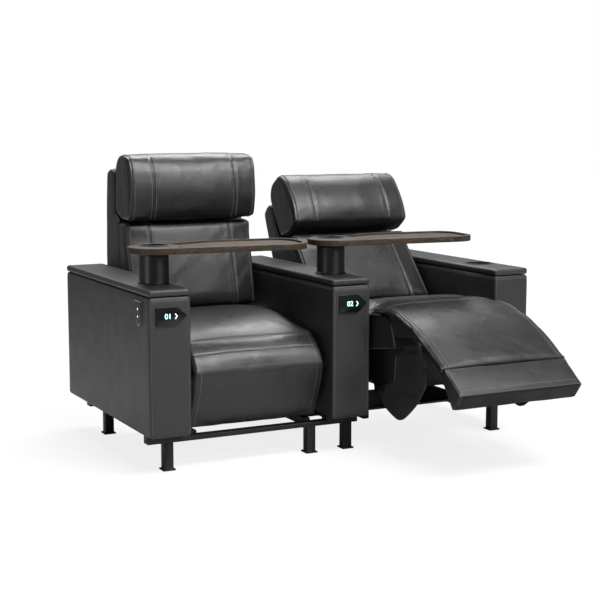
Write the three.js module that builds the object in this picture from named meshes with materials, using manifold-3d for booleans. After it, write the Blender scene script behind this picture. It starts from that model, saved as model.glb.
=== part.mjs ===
// A two-seat power recliner for a cinema: three arms, two reclining seats and two swivel trays.
// Millimetres. +X runs from the first seat to the second, +Y to the back, +Z up.
// Each seat is drawn upright and closed, and its groups then carry it to its openness:
// 0 is upright with the leg rest down, 1 is reclined with the leg rest and foot flap out.
import * as THREE from 'three';
import { mergeVertices } from 'three/addons/utils/BufferGeometryUtils.js';
import Module from 'manifold-3d';

const wasm = await Module();
wasm.setup();

// Driving dimensions
const seatPitch = 700;
const armWidth = 153;
const armDepth = 907;
const armPanelHeight = 486;
const standHeight = 131.7;
const capThickness = 24.7;
const touchGap = 0.3;
const softGap = 0.5;
const cutOverrun = 2;

// Openness of the two seats
const seatOpenness = [0, 1];

// Facets
const roundSegments = 24;
const pinSegments = 10;
const rodSegments = 16;
const kneeSteps = 5;
const trayCurveSegments = 8;
const cornerSegments = 3;

// Places that the whole unit shares: the arms' front is at Y = 0 and the floor at Z = 0
const panelBottom = standHeight + touchGap;
const panelTop = panelBottom + armPanelHeight;
const capBottom = panelTop + touchGap;
const capTop = capBottom + capThickness;
const armCentres = [-seatPitch, 0, seatPitch];
const seatCentres = [-seatPitch / 2, seatPitch / 2];
const armNames = ['left', 'centre', 'right'];
const clearHalfWidth = (seatPitch - armWidth) / 2;
const sides = [-1, 1];

// Widths of a seat's pieces, from the clear width between two arms inwards
const cushionArmGap = 7.5;
const shellArmGap = 10.5;
const guardArmGap = 15.5;
const calfGuardGap = 3;
const calfBoardGuardGap = 6.5;
const boxGuardGap = 3.5;
const carriageInset = 8.5;
const backLugInset = 14.5;
const uprightLugGap = 35;
const flapInset = 1.5;
const trackInset = 21;
const guardOffset = clearHalfWidth - guardArmGap;
const boxHalfWidth = guardOffset - boxGuardGap;
const backLugOffset = boxHalfWidth - backLugInset;
const uprightOffset = backLugOffset - uprightLugGap;
const carriageHalfWidth = boxHalfWidth - carriageInset;
const trackOffset = carriageHalfWidth - trackInset;
const cushionHalfWidth = clearHalfWidth - cushionArmGap;
const shellHalfWidth = clearHalfWidth - shellArmGap;
const calfHalfWidth = guardOffset - calfGuardGap;
const calfBoardHalfWidth = guardOffset - calfBoardGuardGap;
const flapHalfWidth = calfBoardHalfWidth - flapInset;

// Arms
const panelCornerRadius = 13;
const panelEdgeRadius = 5;
const capCornerRadius = 12;
const capEdgeRadius = 7;

// Stand
const legSize = 34;
const footSize = 46;
const footThickness = 6;
const railDepth = 40;
const rearRailHeight = 15.7;
const frontBarHeight = 16;
const frontBarDrop = 16.5;
const frontRailSetback = 68;
const middleRailSetback = 300;
const rearRailSetback = 689;
const railInset = 15;
const railLength = 2 * (seatPitch - railInset) + armWidth;
const legFromRailEnd = 79;
const innerLegOffsets = [-126, 25];
const riserInset = 12;
const trackWidth = 24;
const trackHeight = 29;
const trackDrop = 7.7;

// Tray post, hub and tray. Angles are in degrees, and the tray lies along +X at 0.
const postOffset = 19;
const postSetback = 196;
const postRadius = 52;
const postWall = 3.4;
const postFlangeWidth = 4;
const postFlangeThickness = 4;
const postFloor = 5;
const postHeight = 98.4;
const hubFlareWidth = 7;
const hubFlareHeight = 12;
const hubSleeveWall = 3.4;
const hubSleeveDepth = 62;
const bearingGap = 0.7;
const hubLipWidth = 3.6;
const hubLipHeight = 2.2;
const trayThickness = 20.7;
const trayRim = 13;
const trayRecess = 7;
const trayEndRadius = 100;
const trayNextGap = 47;
const trayReach = seatPitch - trayEndRadius - trayNextGap;
const trayFrontReach = 135;
const trayBackReach = 130;
const trayFrontRound = 112;
const trayBackRound = 86;
const trayShoulder = 250;
const trayWaistShares = [0.75, 0.5];
const trayRestAngle = -5.6;

// Cup holder in the last arm
const cupOffset = 5;
const cupSetback = 227;
const cupRadius = 46;
const cupWall = 2.7;
const cupDepth = 70;
const cupFloor = 3;
const cupLipWidth = 6;
const cupLipHeight = 1.6;

// Signs: a pointed plate on two arm fronts and a shield on the aisle side.
// Shares run from the left edge (-0.5) to the point (0.5) and from the foot up.
const signWidth = 112;
const signHeight = 67;
const signThickness = 5;
const signOffset = 5;
const signDrop = 66;
const signShares = [[-0.5, -0.5], [0.15, -0.5], [0.5, 0], [0.15, 0.5], [-0.5, 0.5]];
const shieldWidth = 63;
const shieldHeight = 88;
const shieldSetback = 93;
const shieldDrop = 63;
const shieldShares = [[0, -0.5], [0.36, -0.36], [0.5, -0.1], [0.5, 0.5], [-0.5, 0.5], [-0.5, -0.1],
  [-0.36, -0.36]];

// Seat switch: a rocker in a pocket in the arm's side, with a back like a wide V so that it can tip
const switchLength = 46;
const switchHeight = 20;
const switchDepth = 12;
const switchSetback = 330;
const switchDrop = 58;
const rockerEndGap = 1;
const rockerProud = 1.2;
const rockerEndDepth = 2;
const rockerBackDepth = 8.5;
const rockerBackWidth = 6;

// Motion from closed to open. Degrees are positive where a piece leans back.
const slideTravel = 235;
const seatTilt = 9;
const backRecline = 20;
const headTilt = 6;
const calfSwing = 72;
const flapSwing = 162;
const guardSwing = -30;
const tiltPivot = { y: 620, z: 290 };
const backPivot = { y: 656, z: 428 };
const headPivot = { y: 790.5, z: 872 };
const calfPivot = { y: 11.5, z: 419 };
const guardPivot = { y: 118, z: 246 };

// Hinge lugs and pins of a seat
const hingeRadius = 15;
const hingePinRadius = 6;
const hingeRunningGap = 0.5;
const lugThickness = 10;
const lugRootRadius = 20;
const backLugRadius = 13;
const backLugRootRadius = 12;
const backLugRootInset = 10;
const backLugRootDrop = 22;
const shellLugRootReach = 25;
const shellLugRootRise = 10;

// Carriage, which rides on the tracks
const carriageFront = 350;
const carriageRear = 652;
const carriageThickness = 8;
const uprightFootRadius = 24;

// Actuator: a tube on the rear rail, and a rod with a foot on the carriage
const actuatorHeight = 40;
const housingRadius = 21;
const housingFront = 420;
const housingBoreRear = 692;
const housingBlockDepth = 34;
const housingBlockWidth = 50;
const rodRadius = 12;
const rodRear = 688;
const rodRunningGap = 0.4;
const rodFootWidth = 34;
const rodFootDepth = 26;
const rodFootInset = 4;
const rodFootRise = 16;

// Seat box and apron
const boxFront = 80;
const boxFrontRake = 24;
const boxRear = 626;
const boxBottom = 318;
const boxTop = 434;
const boxChamferDepth = 30;
const boxChamferHeight = 29;
const apronHalfWidth = 200;
const apronFront = 104;
const apronDepth = 456;
const apronDrop = 165;
const apronShares = [[0, 0], [0.036, 0.084], [0.145, 0.176], [0.205, 0.8], [0.52, 1], [0.53, 0.7], [1, 0.7],
  [1, 0]];

// Soft forms. A row of shares is depth from front to rear, height from foot to top, and how
// much that point takes part in the crown, the seams and the rounding of the ends.
const cushionEdge = 30;
const cushionCrown = 9;
const seamOffset = 180;
const seamHalfWidth = 8;
const seamDepth = 6;
const endShares = [1, 0.88, 0.54, 0];
const flatShares = [0.45];

// Seat cushion: its knee is a wedge in front of the seat box that ends on an arc about the
// leg rest's pivot, so that the leg rest can swing round it
const seatCushionRear = 628;
const seatCushionThickness = 60;
const kneeRadius = 78;
const kneeTipAngle = -81;
const kneeHeelAngles = [-30, -120];
const kneeHeelAngle = -30;
const seatCushionClosedShares = [[1, 0.73, 0.3], [0.85, 0.88, 1], [0.66, 1, 1], [0.48, 0.92, 1],
  [0.37, 0.68, 1], [0.265, 0.38, 0.5], [0.18, 0.06, 0], [0.11, -0.32, 0.3], [0.06, -0.82, 0.3],
  [0.032, -1.27, 0.1]];
const seatCushionOpenShares = [[1, 0.73, 0.3], [0.85, 0.88, 1], [0.66, 1, 1], [0.48, 0.92, 1],
  [0.33, 0.78, 1], [0.21, 0.6, 0.8], [0.13, 0.42, 0.3], [0.062, 0.12, 0.5], [-0.024, -0.32, 0.4]];

// Back shell and back cushion
const shellEdge = 16;
const shellFront = 720;
const shellRear = 908;
const shellFoot = 470;
const shellTop = 1018;
const shellShares = [[0, 0.018, 0], [0.27, 0, 0.3], [0.69, 0.09, 0.6], [0.96, 0.24, 0.8], [1, 0.32, 1],
  [0.98, 0.6, 1], [0.89, 0.94, 1], [0.8, 0.985, 0.8], [0.64, 1, 0.6], [0.5, 0.993, 0.3],
  [0.457, 0.967, 0], [0.457, 0.693, 0], [0.16, 0.639, 0]];
const backCushionFront = 607;
const backCushionFoot = 492;
const backCushionTop = 815;
const backCushionShares = [[0.67, 1, 0.3], [0.54, 0.955, 0.8], [0.5, 0.8, 1], [0.35, 0.56, 1],
  [0.19, 0.33, 1], [0.03, 0.09, 1], [0, 0, 0.5]];

// Head cushion, and the bracket that hangs it on the back shell
const headFront = 612;
const headRear = 785;
const headFoot = 824;
const headHeight = 253;
const headTop = headFoot + headHeight;
const headEdge = 36;
const headShares = [[0.16, 0.016, 0.5], [0.51, 0, 0.3], [0.74, 0.04, 0.3], [0.92, 0.09, 0.2], [1, 0.18, 0],
  [1, 0.7, 0], [0.93, 0.89, 0.6], [0.74, 0.99, 0.8], [0.51, 1, 0.9], [0.22, 0.99, 0.9], [0.07, 0.93, 0.85],
  [0, 0.7, 1], [0, 0.38, 1], [0.06, 0.11, 0.9]];
const bracketHalfWidth = 90;
const bracketThickness = 10;
const bracketDrop = 22;
const bracketRise = 53;
const headPinRadius = 3;
const headLugRadius = 5;
const headLugThickness = 7;

// Leg rest: a pad and a board behind it, both bounded by the board's rear line
const calfFront = 21;
const calfRear = 137;
const calfFoot = 135;
const calfHead = 352;
const calfEdge = 14;
const calfCrown = 5;
const calfBoardThickness = 11;
const calfRearShares = [[0.353, 0.991], [0.586, 0.585], [0.983, 0.083]];
const calfFrontShares = [[0.095, 0.78, 0.6], [0.155, 0.655, 1], [0.336, 0.4, 1], [0.534, 0.18, 1],
  [0.647, 0.009, 0]];
const calfTopAngles = [-62, -83];
const kneeGap = 1;

// Foot flap, drawn as it lies when it is out: below the leg rest
const flapFront = 96;
const flapRear = 209;
const flapFoot = 24;
const flapHead = 152;
const flapEdge = 10;
const flapCrown = 4;
const flapRootGap = 0.6;
const flapShares = [[0.27, 0.436, 1], [0.49, 0.07, 0.8], [0.57, 0.01, 0.6], [0.97, 0.24, 0.3], [1, 0.28, 0]];

// Side guards of the leg rest. The outline is in shares of the length along the guard and of
// its depth across it, from its pivot.
const guardThickness = 6;
const guardLength = 346;
const guardDepth = 170;
const guardRestAngle = 1.7;
const guardLugRadius = 12;
const guardLugGap = 0.5;
const guardPinRadius = 5;
const guardLugRootRadius = 6;
const guardShares = [[-0.087, 0.359], [-0.014, 0.371], [0.121, 0.176], [0.202, 0.2], [0.413, 0.347],
  [0.598, 0.559], [0.746, 0.629], [0.896, 0.559], [0.913, 0.371], [0.847, 0], [0.786, -0.182],
  [0.682, -0.276], [0.436, -0.371], [0.257, -0.365], [0.101, -0.271]];

const leather = new THREE.MeshStandardMaterial({ color: 0x2b2b2d, roughness: 0.45, metalness: 0 });
const panelLeather = new THREE.MeshStandardMaterial({ color: 0x3a3a3c, roughness: 0.5, metalness: 0 });
const blackMetal = new THREE.MeshStandardMaterial({ color: 0x121213, roughness: 0.5, metalness: 0.6 });
const blackPlastic = new THREE.MeshStandardMaterial({ color: 0x17171a, roughness: 0.4, metalness: 0 });
const walnut = new THREE.MeshStandardMaterial({ color: 0x3b2a21, roughness: 0.35, metalness: 0 });
const darkBoard = new THREE.MeshStandardMaterial({ color: 0x1a1a1b, roughness: 0.7, metalness: 0 });
const signGlass = new THREE.MeshStandardMaterial({ color: 0x050506, roughness: 0.15, metalness: 0 });
const steel = new THREE.MeshStandardMaterial({ color: 0x8b8d90, roughness: 0.35, metalness: 0.9 });

const unit = new THREE.Group();

function addMesh(parent, name, geometry, material) {
  const mesh = new THREE.Mesh(geometry, material);
  mesh.name = name;
  parent.add(mesh);
}

// A closed geometry as a solid, without the slivers that a lathe leaves on its axis
function toSolid(geometry) {
  const bare = geometry.clone();
  bare.deleteAttribute('normal');
  bare.deleteAttribute('uv');
  const merged = mergeVertices(bare);
  const corners = [];
  for (let i = 0; i < merged.index.count; i += 3) {
    const [a, b, c] = [0, 1, 2].map((k) => merged.index.getX(i + k));
    if (a !== b && b !== c && c !== a) corners.push(a, b, c);
  }
  const vertProperties = new Float32Array(merged.attributes.position.array);
  const triVerts = new Uint32Array(corners);
  return new wasm.Manifold(new wasm.Mesh({ numProp: 3, vertProperties, triVerts }));
}

function toGeometry(solid) {
  const mesh = solid.getMesh();
  const geometry = new THREE.BufferGeometry();
  geometry.setAttribute('position', new THREE.BufferAttribute(new Float32Array(mesh.vertProperties), 3));
  geometry.setIndex(new THREE.BufferAttribute(new Uint32Array(mesh.triVerts), 1));
  return faceted(geometry);
}

function faceted(geometry) {
  const flat = geometry.toNonIndexed();
  flat.computeVertexNormals();
  return flat;
}

function join(geometries) {
  return toGeometry(geometries.map(toSolid).reduce((whole, piece) => whole.add(piece)));
}

function cut(geometry, tools) {
  return toGeometry(tools.map(toSolid).reduce((whole, tool) => whole.subtract(tool), toSolid(geometry)));
}

function box(x0, x1, y0, y1, z0, z1) {
  const geometry = new THREE.BoxGeometry(x1 - x0, y1 - y0, z1 - z0);
  return geometry.translate((x0 + x1) / 2, (y0 + y1) / 2, (z0 + z1) / 2);
}

function shapeOf(points) {
  return new THREE.Shape(points.map(([u, v]) => new THREE.Vector2(u, v)));
}

function roundedRectangle(u0, u1, v0, v1, radius) {
  const shape = new THREE.Shape();
  shape.absarc(u1 - radius, v0 + radius, radius, -Math.PI / 2, 0);
  shape.absarc(u1 - radius, v1 - radius, radius, 0, Math.PI / 2);
  shape.absarc(u0 + radius, v1 - radius, radius, Math.PI / 2, Math.PI);
  shape.absarc(u0 + radius, v0 + radius, radius, Math.PI, 1.5 * Math.PI);
  return shape;
}

// Two discs of a plane and the straight sides that touch both: the outline of a hinge lug
function linkShape(u0, v0, r0, u1, v1, r1) {
  const along = Math.atan2(v1 - v0, u1 - u0);
  const lean = Math.acos((r0 - r1) / Math.hypot(u1 - u0, v1 - v0));
  const shape = new THREE.Shape();
  shape.absarc(u0, v0, r0, along + lean, along - lean + 2 * Math.PI);
  shape.absarc(u1, v1, r1, along - lean, along + lean);
  return shape;
}

// An upright block over a plan shape, with its top and bottom edges taken off
function uprightBlock(shape, z0, z1, edge = 0, curveSegments = cornerSegments, bevelSegments = 1) {
  const depth = z1 - z0 - 2 * edge;
  const bevel = { bevelEnabled: edge > 0, bevelSize: edge, bevelThickness: edge, bevelOffset: -edge };
  const options = { depth, curveSegments, bevelSegments, ...bevel };
  return new THREE.ExtrudeGeometry(shape, options).translate(0, 0, z0 + edge);
}

// A side profile in (y, z) drawn out along X, from either end
function acrossBlock(shape, xa, xb) {
  const block = uprightBlock(shape, Math.min(xa, xb), Math.max(xa, xb));
  const turn = new THREE.Matrix4().makeBasis(
    new THREE.Vector3(0, 1, 0), new THREE.Vector3(0, 0, 1), new THREE.Vector3(1, 0, 0));
  return block.applyMatrix4(turn);
}

function pinAlongX(xa, xb, pivot, radius) {
  const pin = new THREE.CylinderGeometry(radius, radius, Math.abs(xb - xa), pinSegments);
  return pin.rotateZ(Math.PI / 2).translate((xa + xb) / 2, pivot.y, pivot.z);
}

function rodAlongY(y0, y1, z, radius) {
  return new THREE.CylinderGeometry(radius, radius, y1 - y0, rodSegments).translate(0, (y0 + y1) / 2, z);
}

// A solid of revolution about an upright axis, from (radius, z) points that run up its outside
function turned(profile, x, y) {
  const lathe = new THREE.LatheGeometry(profile.map(([r, z]) => new THREE.Vector2(r, z)), roundSegments);
  return lathe.rotateX(Math.PI / 2).translate(x, y, 0);
}

// Rows of shares become real places, and keep what follows the first two shares
function placed(shares, y0, y1, z0, z1) {
  return shares.map(([v, w, ...rest]) => [y0 + v * (y1 - y0), z0 + w * (z1 - z0), ...rest]);
}

// Points on an arc about a pivot, between two angles in degrees
function arcAbout(pivot, radius, fromAngle, toAngle, softness = 0) {
  return Array.from({ length: kneeSteps + 1 }, (_, i) => {
    const angle = THREE.MathUtils.degToRad(fromAngle + ((toAngle - fromAngle) * i) / kneeSteps);
    return [pivot.y + radius * Math.cos(angle), pivot.z + radius * Math.sin(angle), softness];
  });
}

// An open line moved to the right of its own direction
function offsetLine(points, distance) {
  const last = points.length - 1;
  const rightOf = (i, j) => {
    const [du, dv] = [points[j][0] - points[i][0], points[j][1] - points[i][1]];
    const length = Math.hypot(du, dv);
    return [dv / length, -du / length];
  };
  return points.map(([u, v], i) => {
    const before = rightOf(Math.max(i - 1, 0), Math.max(i, 1));
    const after = rightOf(Math.min(i, last - 1), Math.min(i + 1, last));
    const shrink = 1 + before[0] * after[0] + before[1] * after[1];
    return [u + (distance * (before[0] + after[0])) / shrink, v + (distance * (before[1] + after[1])) / shrink];
  });
}

// The places along X where a soft form has a section, from its left end to its right end
function sectionsAcross(halfWidth, edge, seamed) {
  const flat = halfWidth - edge;
  const half = endShares.map((share) => ({
    x: flat + share * edge, tuck: 1 - Math.sqrt(1 - share * share), dip: 0 }));
  half.push(...flatShares.map((share) => ({ x: share * flat, tuck: 0, dip: 0 })));
  if (seamed) {
    half.push(...[1, 0, -1].map((k) => ({ x: seamOffset + k * seamHalfWidth, tuck: 0, dip: k ? 0 : 1 })));
  }
  half.sort((a, b) => b.x - a.x);
  const mirrored = half.map((section) => ({ ...section, x: -section.x }));
  return [...mirrored, { x: 0, tuck: 0, dip: 0 }, ...half.reverse()];
}

// A soft form: a side profile of (y, z, softness), counterclockwise, carried along X. Its soft
// sides swell by the crown, sink at the two seams and are drawn in at both ends.
function softForm(profile, halfWidth, edge, crown, seamed = false) {
  const ring = profile.length;
  const outward = profile.map((_, i) => {
    const before = profile[(i + ring - 1) % ring];
    const after = profile[(i + 1) % ring];
    const [dy, dz] = [after[0] - before[0], after[1] - before[1]];
    const length = Math.hypot(dy, dz);
    return [dz / length, -dy / length];
  });
  const sections = sectionsAcross(halfWidth, edge, seamed);
  const loops = sections.map(({ x, tuck, dip }) => {
    const swell = crown * (1 - (x / halfWidth) ** 2) - seamDepth * dip - edge * tuck;
    return profile.map(([y, z, softness = 0], i) =>
      [x, y + outward[i][0] * swell * softness, z + outward[i][1] * swell * softness]);
  });
  const triangles = [];
  for (let s = 0; s < sections.length - 1; s++) {
    for (let i = 0; i < ring; i++) {
      const a = s * ring + i;
      const b = s * ring + ((i + 1) % ring);
      triangles.push(a, b, a + ring, b, b + ring, a + ring);
    }
  }
  const closeEnd = (s, order) => {
    const loop = loops[s].map(([, y, z]) => new THREE.Vector2(y, z));
    for (const face of THREE.ShapeUtils.triangulateShape(loop, [])) {
      triangles.push(...order.map((k) => s * ring + face[k]));
    }
  };
  closeEnd(0, [0, 2, 1]);
  closeEnd(sections.length - 1, [0, 1, 2]);
  const geometry = new THREE.BufferGeometry();
  geometry.setAttribute('position', new THREE.Float32BufferAttribute(loops.flat(2), 3));
  geometry.setIndex(triangles);
  return faceted(geometry);
}

// Arms: an upholstered panel box and a padded cap. The last one has a cup holder let into it,
// and the others have a seat switch in the side towards their seat's tray.
function addArms() {
  armNames.forEach((name, i) => {
    const x = armCentres[i];
    const plan = (radius) => roundedRectangle(x - armWidth / 2, x + armWidth / 2, 0, armDepth, radius);
    let body = uprightBlock(plan(panelCornerRadius), panelBottom, panelTop, panelEdgeRadius);
    let cap = uprightBlock(plan(capCornerRadius), capBottom, capTop, capEdgeRadius, cornerSegments, 2);
    if (name === 'right') {
      const bore = cupRadius + cupWall + touchGap;
      const foot = capTop - cupDepth - cupFloor - touchGap;
      const top = capTop + cutOverrun;
      const well = turned([[0, foot], [bore, foot], [bore, top], [0, top]], x + cupOffset, cupSetback);
      body = cut(body, [well]);
      cap = cut(cap, [well]);
    } else {
      body = cut(body, [switchPocket(x + armWidth / 2)]);
    }
    addMesh(unit, `arm_body_${name}`, body, panelLeather);
    addMesh(unit, `arm_cap_${name}`, cap, panelLeather);
  });
}

function switchPocket(face) {
  const z = panelTop - switchDrop;
  const length = switchLength / 2;
  const height = switchHeight / 2;
  return box(face - switchDepth, face + cutOverrun, switchSetback - length, switchSetback + length,
    z - height, z + height);
}

function addCupLiner() {
  const foot = capTop - cupDepth - cupFloor;
  const outer = cupRadius + cupWall;
  const lip = capTop + touchGap;
  const liner = turned([[0, foot], [outer, foot], [outer, lip], [outer + cupLipWidth, lip],
    [outer + cupLipWidth, lip + cupLipHeight], [cupRadius, lip + cupLipHeight],
    [cupRadius, foot + cupFloor], [0, foot + cupFloor]], armCentres[2] + cupOffset, cupSetback);
  addMesh(unit, 'cup_liner', liner, blackPlastic);
}

// Stand: legs with foot plates, a raised rear rail, and a welded front frame, which is a low bar
// under the first seat and a low bar further back under the second one's tracks. Its risers
// carry the arms, so that the leg rests swing clear, and the last arm has a front leg of its own.
function addStand() {
  const half = railLength / 2;
  const reach = armWidth / 2 - riserInset;
  const barTop = standHeight - frontBarDrop;
  const barBottom = barTop - frontBarHeight;
  const rearBottom = standHeight - rearRailHeight;
  const frontRear = frontRailSetback + railDepth;
  const trackBottom = standHeight - trackDrop - trackHeight;
  const middleTop = trackBottom - touchGap;
  const bar = (from, to, y, top) => {
    const [left, right] = [Math.max(from - reach, -half), Math.min(to + reach, half)];
    const bottom = top - frontBarHeight;
    const risers = [[left, from + reach], [to - reach, right]].map(([x0, x1]) =>
      box(x0, x1, y, y + railDepth, bottom, standHeight));
    return [box(left, right, y, y + railDepth, bottom, top), ...risers];
  };
  const link = box(-railDepth / 2, railDepth / 2, frontRear - cutOverrun, middleRailSetback + cutOverrun,
    barBottom, standHeight);
  addMesh(unit, 'front_cross_rail', join([...bar(armCentres[0], armCentres[1], frontRailSetback, barTop), link,
    ...bar(armCentres[1], armCentres[2], middleRailSetback, middleTop)]), blackMetal);
  addMesh(unit, 'rear_cross_rail',
    box(-half, half, rearRailSetback, rearRailSetback + railDepth, rearBottom, standHeight), blackMetal);
  const outer = half - legFromRailEnd;
  [-outer, ...innerLegOffsets].forEach((x, i) => addLeg(`front_leg_${i + 1}`, x, frontRailSetback, barBottom));
  addLeg('front_leg_4', outer, frontRailSetback, standHeight, true);
  [-outer, outer].forEach((x, i) => addLeg(`rear_leg_${i + 1}`, x, rearRailSetback, rearBottom));
  seatCentres.forEach((centre, i) => sides.forEach((side, k) => {
    const x = centre + side * trackOffset;
    const track = box(x - trackWidth / 2, x + trackWidth / 2, frontRear + touchGap,
      rearRailSetback - touchGap, trackBottom, trackBottom + trackHeight);
    addMesh(unit, `slide_track_${i + 1}_${k ? 'right' : 'left'}`, track, steel);
  }));
}

// A leg under a bar, or with a plate of its own under an arm
function addLeg(name, x, railFront, top, ownPlate = false) {
  const y = railFront + railDepth / 2;
  const plate = (z) => box(x - footSize / 2, x + footSize / 2, y - footSize / 2, y + footSize / 2,
    z, z + footThickness);
  const post = box(x - legSize / 2, x + legSize / 2, y - legSize / 2, y + legSize / 2, 0, top - touchGap);
  const plates = ownPlate ? [plate(0), plate(top - footThickness)] : [plate(0)];
  addMesh(unit, name, join([post, ...plates]), blackMetal);
}

// Tray post: a flanged tube on the arm, closed below, and the wall of a cup well
const postFoot = capTop + touchGap;
const postTop = postFoot + postHeight;
const postBore = postRadius - postWall;

function addTrayPost(index) {
  const flange = postRadius + postFlangeWidth;
  const post = turned([[0, postFoot], [flange, postFoot], [flange, postFoot + postFlangeThickness],
    [postRadius, postFoot + postFlangeThickness], [postRadius, postTop], [postBore, postTop],
    [postBore, postFoot + postFloor], [0, postFoot + postFloor]],
  armCentres[index] + postOffset, postSetback);
  addMesh(unit, `tray_post_${index + 1}`, post, blackPlastic);
}

// A tray with its hub, whose sleeve runs down inside the post and up through the tray
function addTray(index) {
  const swivel = new THREE.Group();
  swivel.name = `tray_swivel_${index + 1}`;
  swivel.position.set(armCentres[index] + postOffset, postSetback, 0);
  swivel.rotation.z = THREE.MathUtils.degToRad(trayRestAngle);
  unit.add(swivel);
  const hubFoot = postTop + touchGap;
  const trayFoot = hubFoot + hubFlareHeight + touchGap;
  const trayTop = trayFoot + trayThickness;
  const lipFoot = trayTop + touchGap;
  const lipTop = lipFoot + hubLipHeight;
  const sleeve = postBore - bearingGap;
  const bore = sleeve - hubSleeveWall;
  const sleeveFoot = postTop - hubSleeveDepth;
  const hub = turned([[bore, sleeveFoot], [sleeve, sleeveFoot], [sleeve, hubFoot], [postRadius, hubFoot],
    [postRadius + hubFlareWidth, hubFoot + hubFlareHeight], [sleeve, hubFoot + hubFlareHeight],
    [sleeve, lipFoot], [sleeve + hubLipWidth, lipFoot], [sleeve + hubLipWidth, lipTop], [bore, lipTop],
    [bore, sleeveFoot]], 0, 0);
  addMesh(swivel, `tray_hub_${index + 1}`, hub, blackPlastic);

  const slab = uprightBlock(trayOutline(0), trayFoot, trayTop, 0, trayCurveSegments);
  const sunk = uprightBlock(trayOutline(trayRim), trayTop - trayRecess, trayTop + cutOverrun, 0,
    trayCurveSegments);
  const ringRadius = postRadius + hubFlareWidth + trayRim / 2;
  const disc = (radius) => turned([[0, trayFoot - cutOverrun], [radius, trayFoot - cutOverrun],
    [radius, lipTop + cutOverrun], [0, lipTop + cutOverrun]], 0, 0);
  const top = cut(slab, [cut(sunk, [disc(ringRadius)]), disc(sleeve + touchGap)]);
  addMesh(swivel, `tray_top_${index + 1}`, top, walnut);
}

// The tray's outline about the post's axis, drawn in by inset: a round near end, a straight
// front edge, a round tip, and a back edge that runs down to a waist behind the cup well
function trayOutline(inset) {
  const front = trayFrontReach - inset;
  const back = trayBackReach - inset;
  const tip = trayReach - inset;
  const end = trayEndRadius - inset;
  const endY = trayEndRadius - trayFrontReach;
  const waist = trayWaistShares.map((share) => share * trayShoulder);
  const shape = new THREE.Shape();
  shape.absarc(0, endY, end, Math.PI / 2, 1.5 * Math.PI);
  shape.lineTo(tip - trayFrontRound, -front);
  shape.quadraticCurveTo(tip, -front, tip, trayFrontRound - front);
  shape.lineTo(tip, back - trayBackRound);
  shape.quadraticCurveTo(tip, back, tip - trayBackRound, back);
  shape.lineTo(trayShoulder, back);
  shape.bezierCurveTo(waist[0], back, waist[1], endY + end, 0, endY + end);
  return shape;
}

function addSigns() {
  const z = panelTop - signDrop;
  for (const index of [0, 1]) {
    const x = armCentres[index] + signOffset;
    const outline = shapeOf(signShares.map(([u, v]) => [x + u * signWidth, z + v * signHeight]));
    const plate = new THREE.ExtrudeGeometry(outline, { depth: signThickness, bevelEnabled: false });
    plate.rotateX(Math.PI / 2).translate(0, -touchGap, 0);
    addMesh(unit, `seat_sign_${index + 1}`, plate, signGlass);
  }
  const shield = shapeOf(shieldShares.map(([u, v]) =>
    [shieldSetback + u * shieldWidth, panelTop - shieldDrop + v * shieldHeight]));
  const face = armCentres[0] - armWidth / 2 - touchGap;
  addMesh(unit, 'aisle_sign', acrossBlock(shield, face - signThickness, face), signGlass);
}

// The rocker fills its pocket but for its end gaps, and stands a little proud of the arm
function addRocker(index) {
  const face = armCentres[index] + armWidth / 2;
  const half = switchLength / 2 - rockerEndGap;
  const back = rockerBackWidth / 2;
  const outline = shapeOf([[face + rockerProud, switchSetback - half], [face + rockerProud, switchSetback + half],
    [face - rockerEndDepth, switchSetback + half], [face - rockerBackDepth, switchSetback + back],
    [face - rockerBackDepth, switchSetback - back], [face - rockerEndDepth, switchSetback - half]]);
  const z = panelTop - switchDrop;
  const height = switchHeight / 2 - touchGap;
  addMesh(unit, `rocker_${index + 1}`, uprightBlock(outline, z - height, z + height), blackPlastic);
}

// A group that turns about a line along X. What is put in it keeps the closed seat's places,
// and leans back by the given degrees.
function pivotGroup(parent, name, pivot, degrees) {
  const hinge = new THREE.Group();
  hinge.name = name;
  hinge.position.set(0, pivot.y, pivot.z);
  hinge.rotation.x = THREE.MathUtils.degToRad(-degrees);
  parent.add(hinge);
  const content = new THREE.Group();
  content.position.set(0, -pivot.y, -pivot.z);
  hinge.add(content);
  return content;
}

const trackTop = standHeight - trackDrop;
const plateBottom = trackTop + touchGap;
const plateTop = plateBottom + carriageThickness;
const actuatorLevel = plateTop + actuatorHeight;

// The tilt hinge's seat lugs are outside the carriage's uprights, and the back hinge's shell
// lugs are outside the seat box's own
const tiltLugInner = uprightOffset + lugThickness + softGap;
const tiltLugOuter = tiltLugInner + lugThickness;
const shellLugInner = backLugOffset + lugThickness + softGap;
const shellLugOuter = shellLugInner + lugThickness;

function carriageFrame() {
  const pieces = [box(-carriageHalfWidth, carriageHalfWidth, carriageFront, carriageRear, plateBottom, plateTop)];
  for (const side of sides) {
    const upright = linkShape(tiltPivot.y, tiltPivot.z, hingeRadius,
      tiltPivot.y, plateBottom + uprightFootRadius, uprightFootRadius);
    pieces.push(acrossBlock(upright, side * uprightOffset, side * (uprightOffset + lugThickness)));
    pieces.push(pinAlongX(side * uprightOffset, side * tiltLugOuter, tiltPivot, hingePinRadius));
  }
  return join(pieces);
}

function actuatorRod() {
  const footRear = carriageFront + rodFootInset + rodFootDepth;
  const foot = box(-rodFootWidth / 2, rodFootWidth / 2, carriageFront + rodFootInset, footRear,
    plateTop + touchGap, actuatorLevel + rodFootRise);
  return join([foot, rodAlongY(footRear - rodFootInset, rodRear, actuatorLevel, rodRadius)]);
}

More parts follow.
